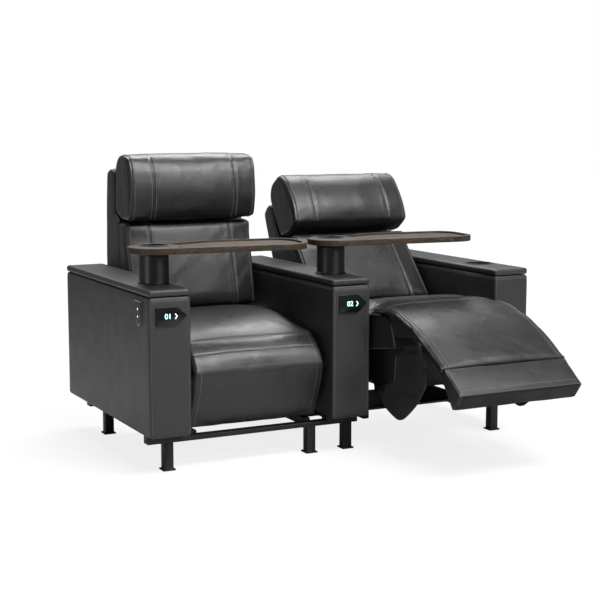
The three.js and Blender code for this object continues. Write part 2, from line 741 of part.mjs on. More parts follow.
function actuatorHousing() {
  const blockFront = rearRailSetback + rodFootInset;
  const block = box(-housingBlockWidth / 2, housingBlockWidth / 2, blockFront, blockFront + housingBlockDepth,
    standHeight + touchGap, actuatorLevel + housingRadius);
  const tube = rodAlongY(housingFront, blockFront + housingBlockDepth / 2, actuatorLevel, housingRadius);
  const bore = rodAlongY(housingFront - cutOverrun, housingBoreRear, actuatorLevel, rodRadius + rodRunningGap);
  return cut(join([block, tube]), [bore]);
}

const boxChamferFoot = boxTop - boxChamferHeight;

function boxFrontAt(z) {
  return boxFront + (boxFrontRake * (z - boxBottom)) / (boxTop - boxBottom);
}

function seatBox() {
  const profile = shapeOf([[boxFront, boxBottom], [boxRear, boxBottom], [boxRear, boxTop],
    [boxFrontAt(boxTop) + boxChamferDepth, boxTop], [boxFrontAt(boxChamferFoot), boxChamferFoot]]);
  const pieces = [acrossBlock(profile, -boxHalfWidth, boxHalfWidth)];
  const bores = [];
  for (const side of sides) {
    const tiltLug = linkShape(tiltPivot.y - lugRootRadius / 2, boxBottom + lugRootRadius, lugRootRadius,
      tiltPivot.y, tiltPivot.z, hingeRadius);
    pieces.push(acrossBlock(tiltLug, side * tiltLugInner, side * tiltLugOuter));
    bores.push(pinAlongX(side * (tiltLugInner - cutOverrun), side * (tiltLugOuter + cutOverrun), tiltPivot,
      hingePinRadius + hingeRunningGap));
    const backLug = linkShape(boxRear - backLugRootInset, boxTop - backLugRootDrop, backLugRootRadius,
      backPivot.y, backPivot.z, backLugRadius);
    pieces.push(acrossBlock(backLug, side * backLugOffset, side * (backLugOffset + lugThickness)));
    pieces.push(pinAlongX(side * backLugOffset, side * shellLugOuter, backPivot, hingePinRadius));
  }
  return cut(join(pieces), bores);
}

function apron() {
  const outline = apronShares.map(([v, w]) =>
    [apronFront + v * apronDepth, boxBottom - touchGap - w * apronDrop]);
  return acrossBlock(shapeOf(outline), -apronHalfWidth, apronHalfWidth);
}

// The seat cushion's top differs with the knee bent or straight, and its foot is the same
function seatCushion(open) {
  const tip = kneeTipAngle - (open ? calfSwing : 0);
  const heel = kneeHeelAngles[open ? 1 : 0];
  const heelZ = calfPivot.z + kneeRadius * Math.sin(THREE.MathUtils.degToRad(kneeHeelAngle));
  const foot = boxTop + softGap;
  const top = placed(open ? seatCushionOpenShares : seatCushionClosedShares, calfPivot.y, seatCushionRear,
    boxTop, boxTop + seatCushionThickness);
  const profile = [...arcAbout(calfPivot, kneeRadius, tip, heel), [boxFrontAt(heelZ) - softGap, heelZ],
    [boxFrontAt(boxChamferFoot) - softGap, boxChamferFoot],
    [boxFrontAt(boxTop) + boxChamferDepth - softGap, foot], [seatCushionRear, foot], ...top];
  return softForm(profile, cushionHalfWidth, cushionEdge, cushionCrown);
}

const shellProfile = placed(shellShares, shellFront, shellRear, shellFoot, shellTop);

// The back shell's front below its shoulder is one slope from its last point to its first
function shellFrontAt(z) {
  const [foot, shoulder] = [shellProfile[0], shellProfile[shellProfile.length - 1]];
  return foot[0] + ((shoulder[0] - foot[0]) * (z - foot[1])) / (shoulder[1] - foot[1]);
}

function backShell() {
  const pieces = [softForm(shellProfile, shellHalfWidth, shellEdge, 0)];
  const bores = [];
  const headFace = headPivot.y + bracketThickness / 2;
  for (const side of sides) {
    const lug = linkShape(backPivot.y, backPivot.z, backLugRadius, shellFront + shellLugRootReach,
      shellProfile[0][1] + shellLugRootRise, backLugRootRadius);
    pieces.push(acrossBlock(lug, side * shellLugInner, side * shellLugOuter));
    bores.push(pinAlongX(side * (shellLugInner - cutOverrun), side * (shellLugOuter + cutOverrun), backPivot,
      hingePinRadius + hingeRunningGap));
    const headLug = linkShape(headPivot.y, headPivot.z, headLugRadius,
      headFace + lugRootRadius, headPivot.z, headLugRadius);
    const inner = bracketHalfWidth + touchGap;
    pieces.push(acrossBlock(headLug, side * inner, side * (inner + headLugThickness)));
    bores.push(pinAlongX(side * (inner - touchGap), side * (inner + headLugThickness + cutOverrun), headPivot,
      headPinRadius + hingeRunningGap));
  }
  return cut(join(pieces), bores);
}

function backCushion() {
  const front = placed(backCushionShares, backCushionFront, shellFront, backCushionFoot, backCushionTop);
  const rear = [backCushionFoot, backCushionTop].map((z) => [shellFrontAt(z) - softGap, z, 0]);
  return softForm([...rear, ...front], cushionHalfWidth, cushionEdge, cushionCrown, true);
}

function headBracket() {
  const half = bracketThickness / 2;
  const plate = box(-bracketHalfWidth, bracketHalfWidth, headPivot.y - half, headPivot.y + half,
    headPivot.z - bracketDrop, headPivot.z + bracketRise);
  const reach = bracketHalfWidth + touchGap + headLugThickness;
  return join([plate, pinAlongX(-reach, reach, headPivot, headPinRadius)]);
}

function headCushion() {
  const profile = placed(headShares, headFront, headRear, headFoot, headTop);
  return softForm(profile, cushionHalfWidth, headEdge, cushionCrown, true);
}

const calfRearLine = placed(calfRearShares, calfFront, calfRear, calfFoot, calfHead);

// The flap is hung just off the board's lower rear corner, so that it folds flat behind it
const flapPivot = { y: calfRearLine[2][0] + touchGap, z: calfRearLine[2][1] - touchGap };

function calfPad() {
  const front = placed(calfFrontShares, calfFront, calfRear, calfFoot, calfHead);
  const rear = offsetLine(calfRearLine, calfBoardThickness + touchGap).reverse();
  const top = arcAbout(calfPivot, kneeRadius + kneeGap, ...calfTopAngles);
  return softForm([...rear, ...top, ...front], calfHalfWidth, calfEdge, calfCrown);
}

function calfBoard() {
  const outline = [...calfRearLine, ...offsetLine(calfRearLine, calfBoardThickness).reverse()];
  const pieces = [acrossBlock(shapeOf(outline), -calfBoardHalfWidth, calfBoardHalfWidth)];
  const lugOuter = guardOffset - guardLugGap;
  const root = calfRearLine[1];
  for (const side of sides) {
    const lug = linkShape(root[0], guardPivot.z + guardLugRootRadius, guardLugRootRadius,
      guardPivot.y, guardPivot.z, guardLugRadius);
    pieces.push(acrossBlock(lug, side * (calfBoardHalfWidth - touchGap), side * lugOuter));
    pieces.push(pinAlongX(side * (calfBoardHalfWidth - touchGap), side * (guardOffset + guardThickness),
      guardPivot, guardPinRadius));
  }
  return join(pieces);
}

function footFlap() {
  const calfToe = placed(calfFrontShares, calfFront, calfRear, calfFoot, calfHead).pop();
  const [rootFront, rootRear] = offsetLine([calfToe, calfRearLine[2]], flapRootGap);
  const outer = placed(flapShares, flapFront, flapRear, flapFoot, flapHead);
  return softForm([rootFront, ...outer, rootRear], flapHalfWidth, flapEdge, flapCrown);
}

function guard(side) {
  const angle = THREE.MathUtils.degToRad(guardRestAngle);
  const outline = guardShares.map(([a, n]) => {
    const [along, across] = [a * guardLength, n * guardDepth];
    return [guardPivot.y + along * Math.cos(angle) - across * Math.sin(angle),
      guardPivot.z + along * Math.sin(angle) + across * Math.cos(angle)];
  });
  const [inner, outer] = [side * guardOffset, side * (guardOffset + guardThickness)];
  const boss = pinAlongX(inner, outer, guardPivot, guardLugRadius);
  const bore = pinAlongX(inner - side * cutOverrun, outer + side * cutOverrun, guardPivot,
    guardPinRadius + hingeRunningGap);
  return cut(join([acrossBlock(shapeOf(outline), inner, outer), boss]), [bore]);
}

// One seat on its carriage, with every group at its share of its travel
function addSeat(index, openness) {
  const tag = index + 1;
  const open = openness > 1 / 2;
  const carriage = new THREE.Group();
  carriage.name = `carriage_slide_${tag}`;
  carriage.position.set(seatCentres[index], -slideTravel * openness, 0);
  unit.add(carriage);
  addMesh(carriage, `carriage_${tag}`, carriageFrame(), blackMetal);
  addMesh(carriage, `actuator_rod_${tag}`, actuatorRod(), steel);
  const seat = pivotGroup(carriage, `seat_tilt_${tag}`, tiltPivot, seatTilt * openness);
  addMesh(seat, `seat_box_${tag}`, seatBox(), darkBoard);
  addMesh(seat, `apron_${tag}`, apron(), darkBoard);
  addMesh(seat, `seat_cushion_${tag}`, seatCushion(open), leather);
  const back = pivotGroup(seat, `back_recline_${tag}`, backPivot, backRecline * openness);
  addMesh(back, `back_shell_${tag}`, backShell(), leather);
  addMesh(back, `back_cushion_${tag}`, backCushion(), leather);
  const head = pivotGroup(back, `head_tilt_${tag}`, headPivot, headTilt * openness);
  addMesh(head, `head_bracket_${tag}`, headBracket(), blackMetal);
  addMesh(head, `head_cushion_${tag}`, headCushion(), leather);
  const calf = pivotGroup(seat, `calf_swing_${tag}`, calfPivot, calfSwing * openness);
  addMesh(calf, `calf_board_${tag}`, calfBoard(), darkBoard);
  addMesh(calf, `calf_pad_${tag}`, calfPad(), leather);
  const flap = pivotGroup(calf, `flap_fold_${tag}`, flapPivot, -flapSwing * (1 - openness));
  addMesh(flap, `foot_flap_${tag}`, footFlap(), leather);
  const guards = pivotGroup(calf, `guard_swing_${tag}`, guardPivot, guardSwing * openness);
  addMesh(guards, `guard_left_${tag}`, guard(-1), blackPlastic);
  addMesh(guards, `guard_right_${tag}`, guard(1), blackPlastic);
  const housing = actuatorHousing().translate(seatCentres[index], 0, 0);
  addMesh(unit, `actuator_housing_${tag}`, housing, blackMetal);
}

addArms();
addCupLiner();
addStand();
addSigns();
for (const index of [0, 1]) {
  addTrayPost(index);
  addTray(index);
  addRocker(index);
  addSeat(index, seatOpenness[index]);
}

// The origin is at the middle of the whole unit's footprint, on the floor
const extent = new THREE.Box3().setFromObject(unit);
unit.position.set(-(extent.min.x + extent.max.x) / 2, -(extent.min.y + extent.max.y) / 2, -extent.min.z);
unit.updateMatrixWorld(true);

export default unit;
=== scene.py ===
import math

import bmesh
import bpy
import numpy as np
from mathutils import Matrix, Vector
from mathutils.bvhtree import BVHTree


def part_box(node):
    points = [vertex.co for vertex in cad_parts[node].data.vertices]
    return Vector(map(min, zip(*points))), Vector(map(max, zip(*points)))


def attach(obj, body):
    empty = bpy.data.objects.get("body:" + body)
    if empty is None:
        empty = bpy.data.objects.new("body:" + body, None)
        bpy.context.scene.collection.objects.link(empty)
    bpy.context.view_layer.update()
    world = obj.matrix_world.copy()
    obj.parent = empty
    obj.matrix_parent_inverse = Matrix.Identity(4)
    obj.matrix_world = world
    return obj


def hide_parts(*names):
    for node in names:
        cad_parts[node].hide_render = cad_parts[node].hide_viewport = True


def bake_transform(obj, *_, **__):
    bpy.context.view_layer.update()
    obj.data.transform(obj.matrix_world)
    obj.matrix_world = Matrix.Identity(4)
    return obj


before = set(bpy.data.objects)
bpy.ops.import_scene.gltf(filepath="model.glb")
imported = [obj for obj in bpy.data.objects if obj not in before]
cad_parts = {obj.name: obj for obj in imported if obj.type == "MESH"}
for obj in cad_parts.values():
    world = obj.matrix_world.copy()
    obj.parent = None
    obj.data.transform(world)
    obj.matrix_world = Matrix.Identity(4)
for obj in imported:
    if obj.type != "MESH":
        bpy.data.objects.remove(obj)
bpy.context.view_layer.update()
scene = bpy.context.scene
MM = 0.001
TINY, MERGE = 1e-9, 1e-6
SIDES = (-1, 1)
FRONT, TOP = (0, -1, 0), (0, 0, 1)

ARM_WIDTH, ARM_DEPTH, PITCH = 153.0, 907.0, 700.0
PANEL_FOOT, PANEL_TOP, CAP_FOOT, CAP_TOP = 132.0, 618.0, 618.3, 643.0
ARM_CENTRES = {"left": -PITCH, "centre": 0.0, "right": PITCH}
OPEN = {1: 0.0, 2: 1.0}
SLIDE, TILT, RECLINE, HEAD_TURN, CALF, FLAP, GUARD = 235.0, 9.0, 20.0, 6.0, 72.0, 162.0, 30.0
TILT_PIVOT, BACK_PIVOT, HEAD_PIVOT = (620.0, 290.0), (656.0, 428.0), (790.5, 872.0)
CALF_PIVOT, GUARD_PIVOT, FLAP_PIVOT = (11.5, 419.0), (118.0, 246.0), (135.33, 152.71)

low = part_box("arm_body_left")[0]
SHIFT = Vector((low.x + (PITCH + ARM_WIDTH / 2) * MM, low.y, 0.0))
BASE = Matrix.Translation(SHIFT)


def about(pivot, degrees):
    p = Vector((0.0, pivot[0] * MM, pivot[1] * MM))
    turn = Matrix.Rotation(math.radians(degrees), 4, "X")
    return Matrix.Translation(p) @ turn @ Matrix.Translation(-p)


def seat_frames(k):
    """Where each part of seat k stands, by how far the seat is open."""
    o = OPEN[k]
    side = -PITCH / 2 if k == 1 else PITCH / 2
    carriage = Matrix.Translation(SHIFT + Vector((side * MM, -SLIDE * o * MM, 0.0)))
    seat = carriage @ about(TILT_PIVOT, -TILT * o)
    back = seat @ about(BACK_PIVOT, -RECLINE * o)
    calf = seat @ about(CALF_PIVOT, -CALF * o)
    return {"seat": seat, "back": back, "head": back @ about(HEAD_PIVOT, -HEAD_TURN * o),
            "flap": calf @ about(FLAP_PIVOT, FLAP * (1 - o)), "guard": calf @ about(GUARD_PIVOT, GUARD * o)}


FRAMES = {k: seat_frames(k) for k in (1, 2)}


# Materials
def wired(tree, kind, settings, *feeds):
    """A node with its settings, fed by (socket, output or value) pairs."""
    node = tree.nodes.new("ShaderNode" + kind)
    for key, value in settings.items():
        setattr(node, key, value)
    for socket, feed in feeds:
        if isinstance(feed, (int, float, tuple)):
            node.inputs[socket].default_value = feed
        else:
            tree.links.new(feed, node.inputs[socket])
    return node


def srgb(value):
    return value / 12.92 if value <= 0.04045 else ((value + 0.055) / 1.055) ** 2.4


def colour(*tone):
    return (*(srgb(v / 255) for v in tone), 1.0)


def brighter(tone, factor, more=0):
    return colour(*(min(255, v * factor + more) for v in tone))


class Build:
    """Short names for adding nodes to one material."""

    def __init__(self, name):
        self.mat = bpy.data.materials.new(name)
        self.mat.use_nodes = True
        self.tree = self.mat.node_tree
        self.tree.nodes.clear()
        self.shader = self.add("BsdfPrincipled")
        self.out = self.add("OutputMaterial", {}, (0, self.shader.outputs[0]))
        self.place = self.add("TexCoord").outputs["Object"]

    def add(self, kind, settings=None, *feeds):
        return wired(self.tree, kind, settings or {}, *feeds)

    def worn(self):
        return self.add("NewGeometry").outputs["Pointiness"]

    def scaled(self, size, turn):
        node = self.add("Mapping", {}, ("Scale", size), ("Rotation", turn), ("Vector", self.place))
        return node.outputs[0]

    def noise(self, scale, detail=2.0, rough=0.5, vector=None, distortion=0.0, out="Fac"):
        return self.add("TexNoise", {}, ("Scale", scale), ("Detail", detail), ("Roughness", rough),
                        ("Distortion", distortion), ("Vector", vector or self.place)).outputs[out]

    def ramp(self, fac, stops):
        node = self.add("ValToRGB", {}, ("Fac", fac))
        band = node.color_ramp
        while len(band.elements) < len(stops):
            band.elements.new(0.5)
        for element, (place, value) in zip(band.elements, stops):
            element.position = place
            element.color = value if isinstance(value, tuple) else (value, value, value, 1)
        return node.outputs["Color"]

    def math(self, operation, a, b):
        return self.add("Math", {"operation": operation}, (0, a), (1, b)).outputs[0]

    def mix(self, fac, a, b):
        return self.add("Mix", {"data_type": "RGBA"}, (0, fac), (6, a), (7, b)).outputs[2]

    def bump(self, height, strength, distance, *normal):
        return self.add("Bump", {}, ("Strength", strength), ("Distance", distance), ("Height", height),
                        *(("Normal", n) for n in normal)).outputs[0]

    def finish(self, base, rough, *normal, **values):
        for key, value in (("Base Color", base), ("Roughness", rough), *(("Normal", n) for n in normal)):
            if isinstance(value, (int, float)):
                self.shader.inputs[key].default_value = value
            else:
                self.tree.links.new(value, self.shader.inputs[key])
        for key, value in values.items():
            self.shader.inputs[key.replace("_", " ")].default_value = value
        return self.mat


def leather(name, dark, light, rough, grain, wrinkle, shine=0.5):
    """Leather whose grain is pebbles with darker, rougher valleys between them, over soft folds."""
    b = Build(name)
    jitter = b.add("VectorMath", {"operation": "SCALE"}, (0, b.noise(160.0, out="Color")), ("Scale", 0.004))
    warp = b.add("VectorMath", {"operation": "ADD"}, (0, b.place), (1, jitter.outputs[0]))
    pebble = b.add("TexVoronoi", {"feature": "DISTANCE_TO_EDGE"}, ("Scale", grain),
                   ("Vector", warp.outputs[0]))
    top = b.ramp(pebble.outputs["Distance"], [(0.0, 0.0), (0.16, 1.0)])
    valley = b.math("SUBTRACT", 1.0, top)
    tone = b.mix(b.noise(5.0, 3.0), colour(*dark), colour(*light))
    tone = b.mix(b.ramp(b.noise(90.0, 4.0, 0.6), [(0.3, 0.0), (0.75, 0.35)]), tone, colour(*light))
    tone = b.mix(b.ramp(b.worn(), [(0.54, 0.0), (0.64, 0.35)]), tone, brighter(light, 1.45))
    tone = b.mix(b.math("MULTIPLY", valley, 0.4), tone, brighter(dark, 0.45))
    gloss = b.ramp(b.noise(14.0, 4.0, 0.6), [(0.3, rough[0]), (0.72, rough[1])])
    gloss = b.math("ADD", gloss, b.math("MULTIPLY", valley, 0.12))
    normal = b.bump(b.noise(16.0, 3.0, 0.55, distortion=0.8), wrinkle, 0.004)
    normal = b.bump(b.noise(60.0, 3.0, 0.6), 0.25, 0.0008, normal)
    return b.finish(tone, gloss, b.bump(top, 0.35, 0.00035, normal), Specular_IOR_Level=shine)


def thread(name, tone):
    b = Build(name)
    twist = b.add("TexWave", {}, ("Scale", 900.0), ("Vector", b.place)).outputs["Fac"]
    gloss = b.ramp(b.noise(200.0), [(0.3, 0.5), (0.7, 0.7)])
    return b.finish(b.mix(twist, brighter(tone, 0.6), colour(*tone)), gloss, b.bump(twist, 0.5, 0.0003),
                    Sheen_Weight=0.2)


def metal(name, tone, rough, metallic, speck, shine=0.5):
    b = Build(name)
    base = b.mix(b.noise(9.0, 3.0), colour(*tone), brighter(tone, 1.25, 3))
    base = b.mix(b.ramp(b.worn(), [(0.52, 0.0), (0.62, 0.5)]), base, brighter(tone, 2, 12))
    gloss = b.ramp(b.noise(40.0, 4.0, 0.65), [(0.3, rough - 0.06), (0.75, rough + 0.1)])
    return b.finish(base, gloss, b.bump(b.noise(700.0), speck, 0.00012), Metallic=metallic,
                    Specular_IOR_Level=shine)


def plastic(name, tone, rough=0.35, speck=0.2):
    b = Build(name)
    base = b.mix(b.noise(7.0, 3.0), colour(*tone), brighter(tone, 1.2, 4))
    base = b.mix(b.ramp(b.noise(220.0, 3.0, 0.7), [(0.62, 0.0), (0.8, 0.18)]), base, brighter(tone, 1, 60))
    gloss = b.ramp(b.noise(26.0, 5.0, 0.6), [(0.3, rough - 0.05), (0.72, rough + 0.12)])
    return b.finish(base, gloss, b.bump(b.noise(1400.0, 1.0), speck, 0.00008), Specular_IOR_Level=0.4)


def walnut(name, turn):
    b = Build(name)
    rings = b.noise(3.2, 5.0, 0.62, b.scaled((2.2, 34.0, 34.0), (0.0, 0.0, turn)), 1.4)
    pores = b.noise(2.6, 3.0, 0.7, b.scaled((6.0, 210.0, 210.0), (0.0, 0.0, turn)))
    base = b.ramp(rings, [(0.3, colour(26, 20, 15)), (0.44, colour(62, 49, 37)), (0.52, colour(36, 28, 21)),
                          (0.62, colour(82, 66, 50)), (0.74, colour(44, 34, 26))])
    base = b.mix(b.ramp(pores, [(0.4, 0.75), (0.56, 0.0)]), base, colour(18, 14, 11))
    gloss = b.ramp(pores, [(0.4, 0.52), (0.6, 0.36)])
    normal = b.bump(rings, 0.12, 0.0005, b.bump(pores, 0.3, 0.0003))
    return b.finish(base, gloss, normal, Specular_IOR_Level=0.22)


def glass(name):
    b = Build(name)
    smear = b.noise(45.0, 3.0, 0.6)
    base = b.mix(smear, colour(7, 7, 8), colour(14, 14, 16))
    gloss = b.ramp(smear, [(0.35, 0.16), (0.7, 0.28)])
    return b.finish(base, gloss, b.bump(b.noise(300.0), 0.05, 0.0001), Specular_IOR_Level=0.3)


def lit(name, tone, strength):
    b = Build(name)
    glow = b.ramp(b.noise(120.0), [(0.2, brighter(tone, 0.85)), (0.8, colour(*tone))])
    b.tree.links.new(glow, b.shader.inputs["Emission Color"])
    return b.finish(glow, 0.4, Emission_Strength=strength)


TRAY_SWING = 5.6
MAT = {
    "leather": leather("seat_leather", (16, 16, 17), (22, 22, 23), (0.25, 0.35), 420.0, 0.1),
    "panel": leather("panel_leather", (28, 28, 29), (33, 33, 34), (0.38, 0.46), 420.0, 0.03),
    # The underside vinyl is darker than the seat leather; part of that darkness is painted shade for the
    # flap's downward-facing fascia.
    "vinyl_shade": leather("underside_vinyl_painted_shade", (9, 9, 10), (14, 14, 15), (0.55, 0.68), 300.0, 0.1, 0.2),
    # The piping cord is a lighter grey than the leather it trims: its tone is a painted highlight along the
    # seams and edges.
    "piping": leather("piping_painted_highlight", (48, 48, 50), (64, 64, 66), (0.36, 0.48), 500.0, 0.1),
    "thread": thread("grey_thread", (134, 134, 136)),
    "metal": metal("powder_coat", (7, 7, 8), 0.45, 0.0, 0.25, 0.3),
    "steel": metal("zinc_steel", (150, 152, 155), 0.32, 0.9, 0.1),
    "plastic": plastic("black_plastic", (11, 11, 12)),
    "guard": plastic("guard_plastic", (14, 14, 15), 0.5, 0.5),
    "walnut_1": walnut("walnut_one", math.radians(TRAY_SWING)),
    "walnut_2": walnut("walnut_two", math.radians(TRAY_SWING)),
    "board": leather("board_cover", (11, 11, 12), (16, 16, 17), (0.55, 0.7), 260.0, 0.1, 0.3),
    "glass": glass("sign_glass"),
    "glow": lit("sign_glow", (190, 240, 250), 1.6),
    "rim": metal("sign_rim", (120, 122, 125), 0.3, 0.9, 0.1),
}


# Mesh helpers
def linked(name, mesh):
    obj = bpy.data.objects.new(name, mesh)
    scene.collection.objects.link(obj)
    return obj


def flags(mesh, name, values, kind):
    mesh.polygons.foreach_set(name, np.asarray(values, kind))


def made(name, verts, faces, materials, marks=None, smooth=True):
    mesh = bpy.data.meshes.new(name)
    mesh.from_pydata([tuple(map(float, v)) for v in verts], [], [tuple(map(int, f)) for f in faces])
    for m in materials:
        mesh.materials.append(MAT[m])
    if marks is not None:
        flags(mesh, "material_index", marks, np.int32)
    if smooth:
        flags(mesh, "use_smooth", np.ones(len(mesh.polygons)), bool)
    mesh.validate()
    mesh.update()
    return linked(name, mesh)


def vectors(mesh, kind="co"):
    values = np.empty(len(mesh.vertices) * 3, np.float32)
    mesh.vertices.foreach_get(kind, values)
    return values.reshape(-1, 3).astype(float)


def set_coords(mesh, co):
    mesh.vertices.foreach_set("co", np.asarray(co, np.float32).ravel())
    mesh.update()


def push(mesh, amount):
    """Moves each vertex along its normal by amount(x, y, z, normals) in millimetres."""
    co, no = vectors(mesh), vectors(mesh, "normal")
    set_coords(mesh, co + no * (amount(*(co / MM).T, no) * MM)[:, None])


def evaluated(obj):
    return bpy.data.meshes.new_from_object(obj.evaluated_get(bpy.context.evaluated_depsgraph_get()))


def bake(obj):
    mesh, old = evaluated(obj), obj.data
    obj.modifiers.clear()
    obj.data = mesh
    bpy.data.meshes.remove(old)
    return obj


def modify(obj, kind, **settings):
    modifier = obj.modifiers.new(kind.title(), kind)
    for key, value in settings.items():
        setattr(modifier, key, value)
    return modifier


def ready(obj, matrix, body, replaced, sharp=None):
    """Carries a finished mesh to its place and hangs it on its body."""
    obj.data.transform(matrix)
    obj.data.update()
    if sharp:
        flags(obj.data, "use_smooth", np.ones(len(obj.data.polygons)), bool)
        obj.data.set_sharp_from_angle(angle=math.radians(sharp))
    if body:
        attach(obj, body)
    if replaced:
        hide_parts(*replaced)
    return obj


def outward_of(loop):
    d = np.roll(loop, -1, 0) - np.roll(loop, 1, 0)
    d /= np.maximum(np.linalg.norm(d, axis=1, keepdims=True), TINY)
    return np.stack([d[:, 1], -d[:, 0]], 1)


def smooth_loop(points, step=9.0):
    """A closed counterclockwise line through (y, z, softness) points.

    It is curved where it is soft, with a corner where softness is 0."""
    p = np.array(points, float)
    n = len(p)
    out = []
    for i in range(n):
        a, b, c, d = p[i - 1], p[i], p[(i + 1) % n], p[(i + 2) % n]
        if b[2] <= 0:
            a = b
        if c[2] <= 0:
            d = c
        count = max(1, int(np.linalg.norm((c - b)[:2]) / step))
        for j in range(count):
            t = j / count
            q = 0.5 * ((2 * b) + (c - a) * t + (2 * a - 5 * b + 4 * c - d) * t * t
                       + (3 * b - a - 3 * c + d) * t ** 3)
            q[2] = b[2] + (c[2] - b[2]) * t
            out.append(q)
    return np.array(out)


def loft(loop, half, edge, crown, shrink=0.0, step=22.0):
    """Verts, in metres, and faces of a side profile carried along X, drawn in at its ends and crowned."""
    outward = outward_of(loop[:, :2])
    flat = half - edge
    rounds = [(half - edge + edge * math.sin(a), 1 - math.cos(a)) for a in np.radians(np.linspace(0, 90, 8))]
    count = int(2 * flat / step)
    xs = [(-x, t) for x, t in reversed(rounds)]
    xs += [(x, 0.0) for x in np.linspace(-flat, flat, count + 1)[1:-1]]
    xs += rounds
    ring, soft = len(loop), loop[:, 2:3]
    verts, faces = [], []
    for x, tuck in xs:
        swell = crown * (1 - (x / half) ** 2) - edge * tuck
        yz = loop[:, :2] + outward * (swell * soft - shrink * np.minimum(1, soft * 3))
        verts.append(np.column_stack([np.full(ring, x * (1 - shrink / half)), yz]))
    for s in range(len(xs) - 1):
        for i in range(ring):
            a, b = s * ring + i, s * ring + (i + 1) % ring
            faces.append((a, b, b + ring, a + ring))
    last = (len(xs) - 1) * ring
    return np.vstack(verts) * MM, [*faces, tuple(range(ring - 1, -1, -1)), tuple(range(last, last + ring))]


def evened(mesh, field, rounds):
    """A field of the vertices, averaged with their neighbours."""
    ends = np.array([e.vertices for e in mesh.edges])
    a, b = np.concatenate([ends[:, 0], ends[:, 1]]), np.concatenate([ends[:, 1], ends[:, 0]])
    count = np.maximum(np.bincount(a, minlength=len(field)), 1)
    for _ in range(rounds):
        near = np.stack([np.bincount(a, field[b, c], len(field)) for c in range(3)], 1)
        field = 0.4 * field + 0.6 * near / count[:, None]
    return field


def tree_of(mesh):
    return BVHTree.FromPolygons([v.co for v in mesh.vertices], [p.vertices for p in mesh.polygons])


def met(tree, rays, reach):
    """The points, with normals, where a look back along each (origin, aim) meets the surface."""
    found = []
    for origin, aim in rays:
        hit, normal, _, _ = tree.ray_cast(origin, -aim, reach)
        if hit is not None:
            found.append((hit.copy(), normal.copy()))
    return found


def trace(obj, spots, look, lift=8.0):
    """The line on a mesh seen from the given spots, looking back along one look."""
    aim = Vector(look).normalized()
    return met(tree_of(obj.data), [(Vector(s) * MM + aim * lift * MM, aim) for s in spots], 2.5 * lift * MM)


class Surface:
    """A mesh with its side profile, and lines found on it."""

    REACH, ACROSS_LIFT, ALONG_LIFT = 0.12, 0.05, 0.06

    def __init__(self, obj, loop):
        self.obj, self.loop = obj, loop

    def push(self, amount):
        push(self.obj.data, amount)
        self.tree = tree_of(self.obj.data)

    def along(self, x, first, last, slant=0.0):
        """Where the plane x meets the surface, from one share of the profile to another.

        Slant turns the look inwards from the side."""
        loop, outward = self.loop, outward_of(self.loop[:, :2])
        n, lean = len(loop), math.radians(slant)
        rays = []
        for share in np.linspace(first, last, max(2, int(abs(last - first) * n * 4))):
            at = share * n
            i, t = int(at) % n, at - int(at)
            j = (i + 1) % n
            point = loop[i, :2] * (1 - t) + loop[j, :2] * t
            side = outward[i] * (1 - t) + outward[j] * t
            side = side / max(np.linalg.norm(side), TINY)
            look = Vector((math.copysign(math.sin(lean), x) if slant else 0.0,
                           side[0] * math.cos(lean), side[1] * math.cos(lean)))
            rays.append((Vector((x, point[0], point[1])) * MM + look * self.ALONG_LIFT, look))
        return met(self.tree, rays, self.REACH)

    def across(self, point, look, reach):
        """A line along X, to both sides alike, where looking at a profile point meets the surface."""
        aim = Vector((0.0, look[0], look[1])).normalized()
        rays = [(Vector((x, point[0], point[1])) * MM + aim * self.ACROSS_LIFT, aim)
                for x in np.linspace(-reach, reach, int(2 * reach / 4))]
        return met(self.tree, rays, self.REACH)


class Soft(Surface):
    """A padded piece between its first shape and its finished mesh."""

    SHRINK, QUICK_VOXEL, PIN_DEPTH, PIN_RAMP, SPARE = 2.5, 2, 16.0, 8.0, 3.0
    CLOTH = {"quality": 4, "mass": 0.25, "tension_stiffness": 12, "compression_stiffness": 12,
             "shear_stiffness": 8, "bending_stiffness": 3.0, "use_pressure": True,
             "vertex_group_mass": "hold"}

    def __init__(self, name, profile, half, edge, crown, held, cap=11.0, pressure=4.0, voxel=6.0, rounds=5):
        self.half, self.held, self.cap = half, held, cap
        loop = smooth_loop(profile)
        verts, faces = loft(loop, half, edge, crown, self.SHRINK)
        super().__init__(made(name, verts, faces, ["leather"]), loop)
        size = (voxel + 0) * MM
        modify(self.obj, "REMESH", mode="VOXEL", voxel_size=size, use_smooth_shade=True)
        modify(self.obj, "SMOOTH", factor=0.5, iterations=rounds)
        bake(self.obj)
        self.start = vectors(self.obj.data)
        self.cloth(pressure)

    def cloth(self, pressure):
        """Cloth blown up from inside, held where the piece says and down its sewn sides."""
        group = self.obj.vertex_groups.new(name="hold")
        for i, (x, y, z) in enumerate(self.start / MM):
            sewn = min(1.0, max(0.0, (abs(x) - self.half + self.PIN_DEPTH) / self.PIN_RAMP))
            weight = max(self.held(x, y, z), sewn)
            if weight > 0:
                group.add([i], weight, "REPLACE")
        settings = modify(self.obj, "CLOTH").settings
        for key, value in self.CLOTH.items():
            setattr(settings, key, value)
        settings.uniform_pressure_force = pressure
        settings.effector_weights.gravity = 0

    def settle(self):
        """Takes the simulated shape, no further than the cap from the start, then doubles the mesh."""
        bake(self.obj)
        moved = evened(self.obj.data, vectors(self.obj.data) - self.start, 10)
        far = np.linalg.norm(moved, axis=1, keepdims=True)
        moved *= np.minimum(1, self.cap * MM / np.maximum(far, TINY))
        co = self.start + moved
        reach = (self.half + self.SPARE) * MM
        co[:, 0] = np.clip(co[:, 0], -reach, reach)
        set_coords(self.obj.data, co)
        self.obj.vertex_groups.clear()
        modify(self.obj, "SUBSURF", levels=1)
        bake(self.obj)


